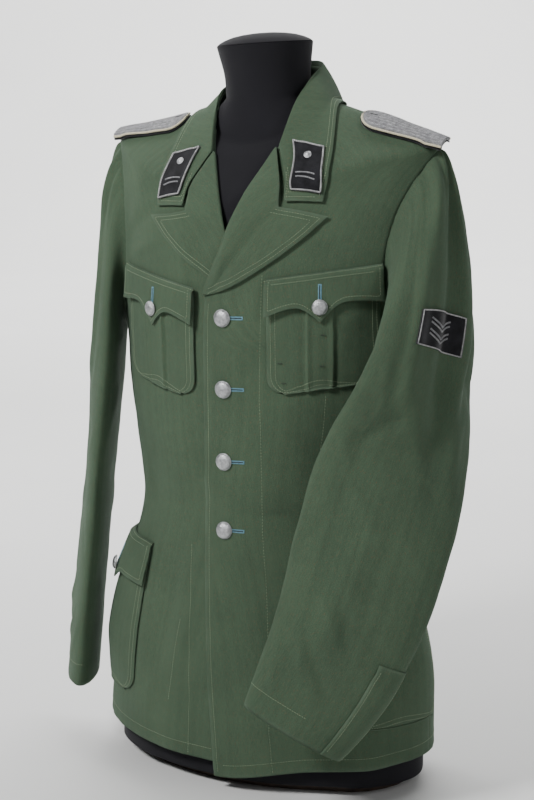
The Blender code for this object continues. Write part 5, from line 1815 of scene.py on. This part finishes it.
# %% Thread loops
LOOP_SPOTS = ((23.6, 0.494), (25.1, 0.4715), (38.6, 0.527), (38.8, 0.4916))
loops = bmesh.new()
for angle, height in LOOP_SPOTS:
    place, up = on_skin("left_chest_pocket_cloth", body(angle, height, 0.004))
    way = (body(angle + 1.0, height) - body(angle, height)).normalized()
    for part in range(9):
        swing = math.pi * part / 8
        spot = place + way * 0.0022 * math.cos(swing) + up * (0.0003 + 0.0011 * math.sin(swing))
        bead(
            loops, spot, way * -math.sin(swing) + up * math.cos(swing), way.cross(up),
            (0.0012, 0.0007, 0.0007),
        )
thread_piece("thread_loops", loops, SLIT_SHADE_AND_DARK_THREAD)

# %% [markdown]
# A cord that edges a badge or a strap is a thin tube along a line of points. It is made as a
# grid too, rolled up and welded, so that its UV map can carry the twist of its strands.

# %% Cords along an edge


def cord_along(name, line, radius, finish, ups, closed=False):
    count = len(line)

    def place(turn, step, out):
        here = int(step) % count if closed else int(step)
        ahead = line[(here + 1) % count] if closed else line[min(here + 1, count - 1)]
        behind = line[(here - 1) % count] if closed else line[max(here - 1, 0)]
        way = (ahead - behind).normalized()
        up = (ups[here] - way * ups[here].dot(way)).normalized()
        side = up.cross(way)
        angle = math.radians(turn)
        return line[here] + (side * math.sin(angle) + up * math.cos(angle)) * (radius + out)

    steps = list(range(count + 1)) if closed else list(range(count))
    return cloth(
        name, place, [part * 45.0 for part in range(9)], steps, edges="", wall=0.0,
        closed=True, material=finish,
    )


def even_line(line, pitch):
    return [spot for spot, _ in evenly(line, pitch)]

# %% [markdown]
# The shoulder straps are a felt base with a braid top: eight lengthwise rows of silver braid,
# each a low ridge of slanted strands, edged with a cream cord. A cloth loop on the shoulder
# takes the strap near its outer end.

# %% Shoulder straps
STRAP_ENDS = {1: ((0.1130, -0.0040), (0.2040, 0.0080)), -1: ((0.0990, -0.0040), (0.1960, 0.0080))}
STRAP_HALF = 0.0215
STRAP_BASE = 0.0020
STRAP_BRAID = 0.0034
STRAP_LIFT = (0.0000, 0.0009, 0.0030)


def shoulder_top(side, x, y):
    """The point of the shoulder's surface at a distance x from the centre line, and at y."""
    low, high = TIP_H - 0.010, NECK_H + 0.004
    for _ in range(30):
        height = (low + high) / 2
        row = BODY.read(height)
        reach = row["front_y"] if y < row["side_y"] else row["back_y"]
        share = (y - row["side_y"]) / (reach - row["side_y"])
        angle = math.degrees(math.acos(min(1.0, max(0.0, share))))
        angle = side * (angle if y < row["side_y"] else 180.0 - angle)
        if side * body_base(angle, height).x > x:
            low = height
        else:
            high = height
    return body_base(angle, height)


def strap_half(side, along, trim):
    """Half the strap's width, along 0 at the sleeve end and 1 at its rounded inner end."""
    inner, outer = STRAP_ENDS[side]
    left = (1 - along) * (outer[0] - inner[0]) - trim
    half = STRAP_HALF - trim
    return max(0.0006, half - corner_cut(left, half * 0.99))


def strap_surface(side, along, across, trim, out):
    x, y = mix(STRAP_ENDS[side][1], STRAP_ENDS[side][0], along)
    half = strap_half(side, along, trim)
    far = 0.186
    level = min(x, far)
    front = shoulder_top(side, level, y - STRAP_HALF)
    back = shoulder_top(side, level, y + STRAP_HALF)
    flat = front.lerp(back, 0.5 + 0.5 * across * half / STRAP_HALF)
    spot = shoulder_top(side, level, y + half * across).lerp(flat, 0.1)
    slope = shoulder_top(side, far, y) - shoulder_top(side, far - 0.025, y)
    spot += slope * max(0.0, x - far) / 0.025
    inner, middle, outer = STRAP_LIFT
    rise = inner + (middle - inner) * ease(1.0, 0.8, along) if along > 0.5 else middle
    rise += (outer - middle) * ease(0.55, 0.0, along) if along < 0.5 else 0.0
    normal = Vector((side * 0.32, -0.22, 0.92)).normalized()
    return spot + normal * (out + rise + 0.0007)


BRAID_ROWS = 8
BRAID_TOP = STRAP_BASE + SEAM_GAP * 1.5 + STRAP_BRAID


def braid_place(side):
    def place(across, along, out):
        ridge = abs(math.sin(math.pi * BRAID_ROWS * (across + 1) / 2))
        off_row = abs(((across + 1) * BRAID_ROWS / 2) % 1 - 0.5)
        slant = math.sin(2 * math.pi * (along * 0.092 / 0.0030 + off_row * 1.4))
        shape = -0.0011 + 0.0010 * ridge**0.7 + 0.00022 * slant * ridge
        shape -= 0.0010 * ease(0.93, 1.0, abs(across))
        return strap_surface(side, along * 0.984, across, 0.0016, BRAID_TOP + shape + out)

    return place


for side, name in ((1, "left"), (-1, "right")):
    cloth(
        name + "_strap_base_felt",
        lambda a, b, out: strap_surface(side, b, a, 0.0, STRAP_BASE + out),
        steps_between(-1.0, 1.0, 16), steps_between(0.0, 0.95, 30) + [0.962, 0.974, 0.984, 0.992, 0.998],
        ["strap_base_" + name], edges="", wall=STRAP_BASE, material=BLACK_FELT,
    )
    cloth(
        name + "_strap_braid", braid_place(side), [-1.0 + 2.0 * part / 56 for part in range(57)],
        [part / 110 * 0.95 for part in range(111)] + [0.962, 0.974, 0.984, 0.992, 0.998],
        ["strap_braid_" + name], edges="", wall=STRAP_BRAID - 0.0011,
        material=SILVER_BRAID,
    )
    ways = [(1.0, part / 60 * 0.97) for part in range(61)]
    ways += [(1.0, level) for level in (0.98, 0.988, 0.994, 0.998)]
    ways += [(across / 4, 0.999) for across in range(3, -4, -1)]
    ways += [(-across, along) for across, along in reversed(ways[:65])]
    edge_line = [
        strap_surface(side, along * 0.986, across, 0.0008, BRAID_TOP - 0.0019)
        for across, along in ways
    ]
    edge_line = even_line(edge_line, 0.0016)
    up = Vector((side * 0.32, -0.22, 0.92)).normalized()
    cord_along(name + "_strap_piping", edge_line, 0.0013, CREAM_PIPING, [up] * len(edge_line))

    def loop_place(a, b, out):
        spot = shoulder_top(side, 0.168 + 0.010 * b, 0.009 + 0.017 * a)
        arch = 0.0004 * math.cos(a * math.pi / 2)
        return spot + Vector((side * 0.32, -0.22, 0.92)).normalized() * (0.0010 + arch + out)

    cloth(
        name + "_strap_loop_cloth", loop_place, steps_between(-1.0, 1.0, 18), steps_between(0.0, 1.0, 6),
        ["strap_loop_" + name], edges="", wall=0.0008,
    )
    # The strap's slot near its inner end: a row of near-black beads on the braid, painted shade in the
    # opening.
    slot_shade_maker = bmesh.new()
    ends = [strap_surface(side, along, 0.0, 0.0016, BRAID_TOP) for along in (0.83, 0.91)]
    for spot, way in evenly(ends, 0.0005):
        bead(slot_shade_maker, spot - up * 0.0001, way, up, (0.0015, 0.0016, 0.0008))
    thread_piece(name + "_strap_slot_shade", slot_shade_maker, SLIT_SHADE_AND_DARK_THREAD)

# %% [markdown]
# The collar tabs are black felt, edged with a cord of two pale strands. Each carries one plain
# stud and one plain bar of braid. The sleeve patch is felt too, with two plain chevrons.

# %% Collar tabs and sleeve patch
TAB_CORNERS = ((0.72, 0.20), (1.42, 0.82), (0.20, 0.955), (0.16, 0.54))


def tab_place(side):
    def place(across, down, out):
        corners = TAB_CORNERS
        inner, outer = mix(corners[0], corners[3], down), mix(corners[1], corners[2], down)
        turn, share = mix(inner, outer, across)
        return fall(turn, share, side, LAY_GAP * 2 + 0.0016 + out)

    return place


def rim(place, count, inside=0.0):
    """Points round a four-sided piece, a little inside its edge."""
    low, high = inside, 1.0 - inside
    corners = [(low, low), (high, low), (high, high), (low, high), (low, low)]
    found = []
    for start, end in zip(corners, corners[1:]):
        found += [place(*mix(start, end, part / count), 0.0) for part in range(count)]
    return found + [found[0]]


def edged(name, place, radius, finish, pitch=0.0014, inside=0.02):
    line = even_line(rim(place, 14, inside), pitch)
    ups = [on_skin(name, spot)[1] for spot in line]
    return cord_along(name + "_edge", line, radius, finish, ups, closed=True)


TAB_STEPS = [part / 16 for part in range(17)]
for side, name in ((1, "left"), (-1, "right")):
    piece = name + "_collar_tab_felt"
    place = tab_place(side)
    cloth(piece, place, TAB_STEPS, TAB_STEPS, ["collar_tab_" + name], edges="", wall=0.0016,
          material=BLACK_FELT)
    edged(piece, place, 0.00095, TWIST_CORD)
    spot, up = on_skin(piece, place(0.5, 0.30, 0.0))
    spun(
        name + "_tab_stud",
        [(0.0, 0.0021), (0.0016, 0.0019), (0.0029, 0.0013), (0.0036, 0.0006),
         (0.0042, 0.0005), (0.0042, 0.0), (0.0, 0.0)],
        spot + up * 0.0001, up, GREY_ALLOY, steps=32,
    )
    for level in (0.66, 0.74):
        bar = even_line(between(place, [(0.2, level), (0.8, level)]), 0.0012)
        bar_name = f"{name}_tab_bar_{round(level * 100)}"
        cord_along(bar_name, bar, 0.0009, SILVER_BRAID, [up] * len(bar))


def patch_place(across, down, out):
    return sleeve(1, 36.0 - 54.0 * across, 0.80 + 0.14 * down, 0.0007 + 0.0012 + out)


cloth("sleeve_patch_felt", patch_place, steps_between(0.0, 1.0, 24), steps_between(0.0, 1.0, 18),
      ["sleeve_patch"], edges="", wall=0.0012, material=BLACK_FELT)
edged("sleeve_patch_felt", patch_place, 0.00075, TWIST_CORD)
for number, lift in enumerate((0.0, 0.11, 0.30, 0.41), start=1):
    corners = [(0.22, 0.20 + lift), (0.50, 0.42 + lift), (0.78, 0.20 + lift)]
    line = even_line(between(patch_place, corners), 0.0012)
    ups = [on_skin("sleeve_patch_felt", spot)[1] for spot in line]
    cord_along(f"patch_chevron_{number}", line, 0.0010, SILVER_BRAID, ups)

# %% [markdown]
# Every sheet of cloth keeps the size it was cut to, measured on its UV map, where a
# sleeve counts all round.

# %% The sheets and their cuts
for name, (width, length, area) in CUTS.items():
    if not name.endswith(("_cloth", "_felt")) or min(width, length) < 0.0101:
        continue
print("sheets declared:", sum(name.endswith(("_cloth", "_felt")) for name in CUTS))

# %% [markdown]
# The studio is plain: a pale floor that sweeps up into a pale wall, far enough back for a
# camera to go round the jacket. The main light is high in front, on the jacket's right, with a
# weaker one on its left, one behind for the edges, and two on the floor and wall behind.

# %% Floor and light
FLOOR_PALE = new_finish("pale_floor", 0.9)
SWEEP_FRONT = 9.0
SWEEP_START = 5.0
SWEEP_BEND = 1.5
SWEEP_WIDE = 14.0
sweep_maker = bmesh.new()
bmesh.ops.create_grid(sweep_maker, x_segments=1, y_segments=40, size=1.0)
for corner in sweep_maker.verts:
    along = (corner.co.y + 1) / 2 * 40
    wide = corner.co.x * SWEEP_WIDE
    if along <= 12:
        deep, tall = -SWEEP_FRONT + along * (SWEEP_START + SWEEP_FRONT) / 12, 0.0
    elif along <= 28:
        turn = (along - 12) / 16 * math.pi / 2
        deep = SWEEP_START + SWEEP_BEND * math.sin(turn)
        tall = SWEEP_BEND * (1 - math.cos(turn))
    else:
        deep, tall = SWEEP_START + SWEEP_BEND, SWEEP_BEND + (along - 28) * 0.35
    corner.co = ACROSS * wide - BACK * deep + Vector((0.0, 0.0, tall))
floor_mesh = bpy.data.meshes.new("floor")
sweep_maker.to_mesh(floor_mesh)
sweep_maker.free()
floor_mesh.shade_smooth()
floor_mesh.materials.append(FLOOR_PALE[0])
FLOOR_TREE, FLOOR_SHADER = FLOOR_PALE[1], FLOOR_PALE[2]
floor_spots = add(FLOOR_TREE, "ShaderNodeTexCoord").outputs["Object"]
floor_tone = grain(FLOOR_TREE, floor_spots, 0.4, 3.0)
colour_in(
    FLOOR_TREE, FLOOR_SHADER,
    blended(FLOOR_TREE, floor_tone, (0.74, 0.74, 0.73, 1.0), (0.80, 0.80, 0.79, 1.0)),
)
floor = bpy.data.objects.new("floor", floor_mesh)
bpy.context.scene.collection.objects.link(floor)


def soft_light(name, spot, aim, size, power):
    lamp = bpy.data.lights.new(name, "AREA")
    lamp.shape = "RECTANGLE"
    lamp.size, lamp.size_y = size
    lamp.energy = power
    made = bpy.data.objects.new(name, lamp)
    bpy.context.scene.collection.objects.link(made)
    made.location = spot
    made.rotation_mode = "QUATERNION"
    made.rotation_quaternion = (Vector(aim) - Vector(spot)).to_track_quat("-Z", "Y")
    return made


soft_light("key", (-0.75, -1.75, 1.95), (0.0, 0.0, 0.62), (0.55, 0.55), 58.0)
soft_light("side", (1.9, -0.8, 1.30), (0.0, 0.0, 0.50), (0.5, 1.2), 11.0)
soft_light("rim", (-1.6, 0.7, 1.3), (0.0, 0.0, 0.5), (0.4, 1.2), 10.0)
soft_light("backdrop", (-0.2, 0.9, 2.6), (-0.6, 2.2, 0.6), (2.5, 1.2), 75.0)
soft_light("far_wall", (-1.2, 3.2, 4.2), (-2.6, 6.2, 0.9), (4.0, 2.0), 520.0)
sky = bpy.data.worlds.new("studio")
sky.use_nodes = True
sky.node_tree.nodes["Background"].inputs["Color"].default_value = (0.85, 0.87, 0.90, 1.0)
sky.node_tree.nodes["Background"].inputs["Strength"].default_value = 0.10
bpy.context.scene.world = sky
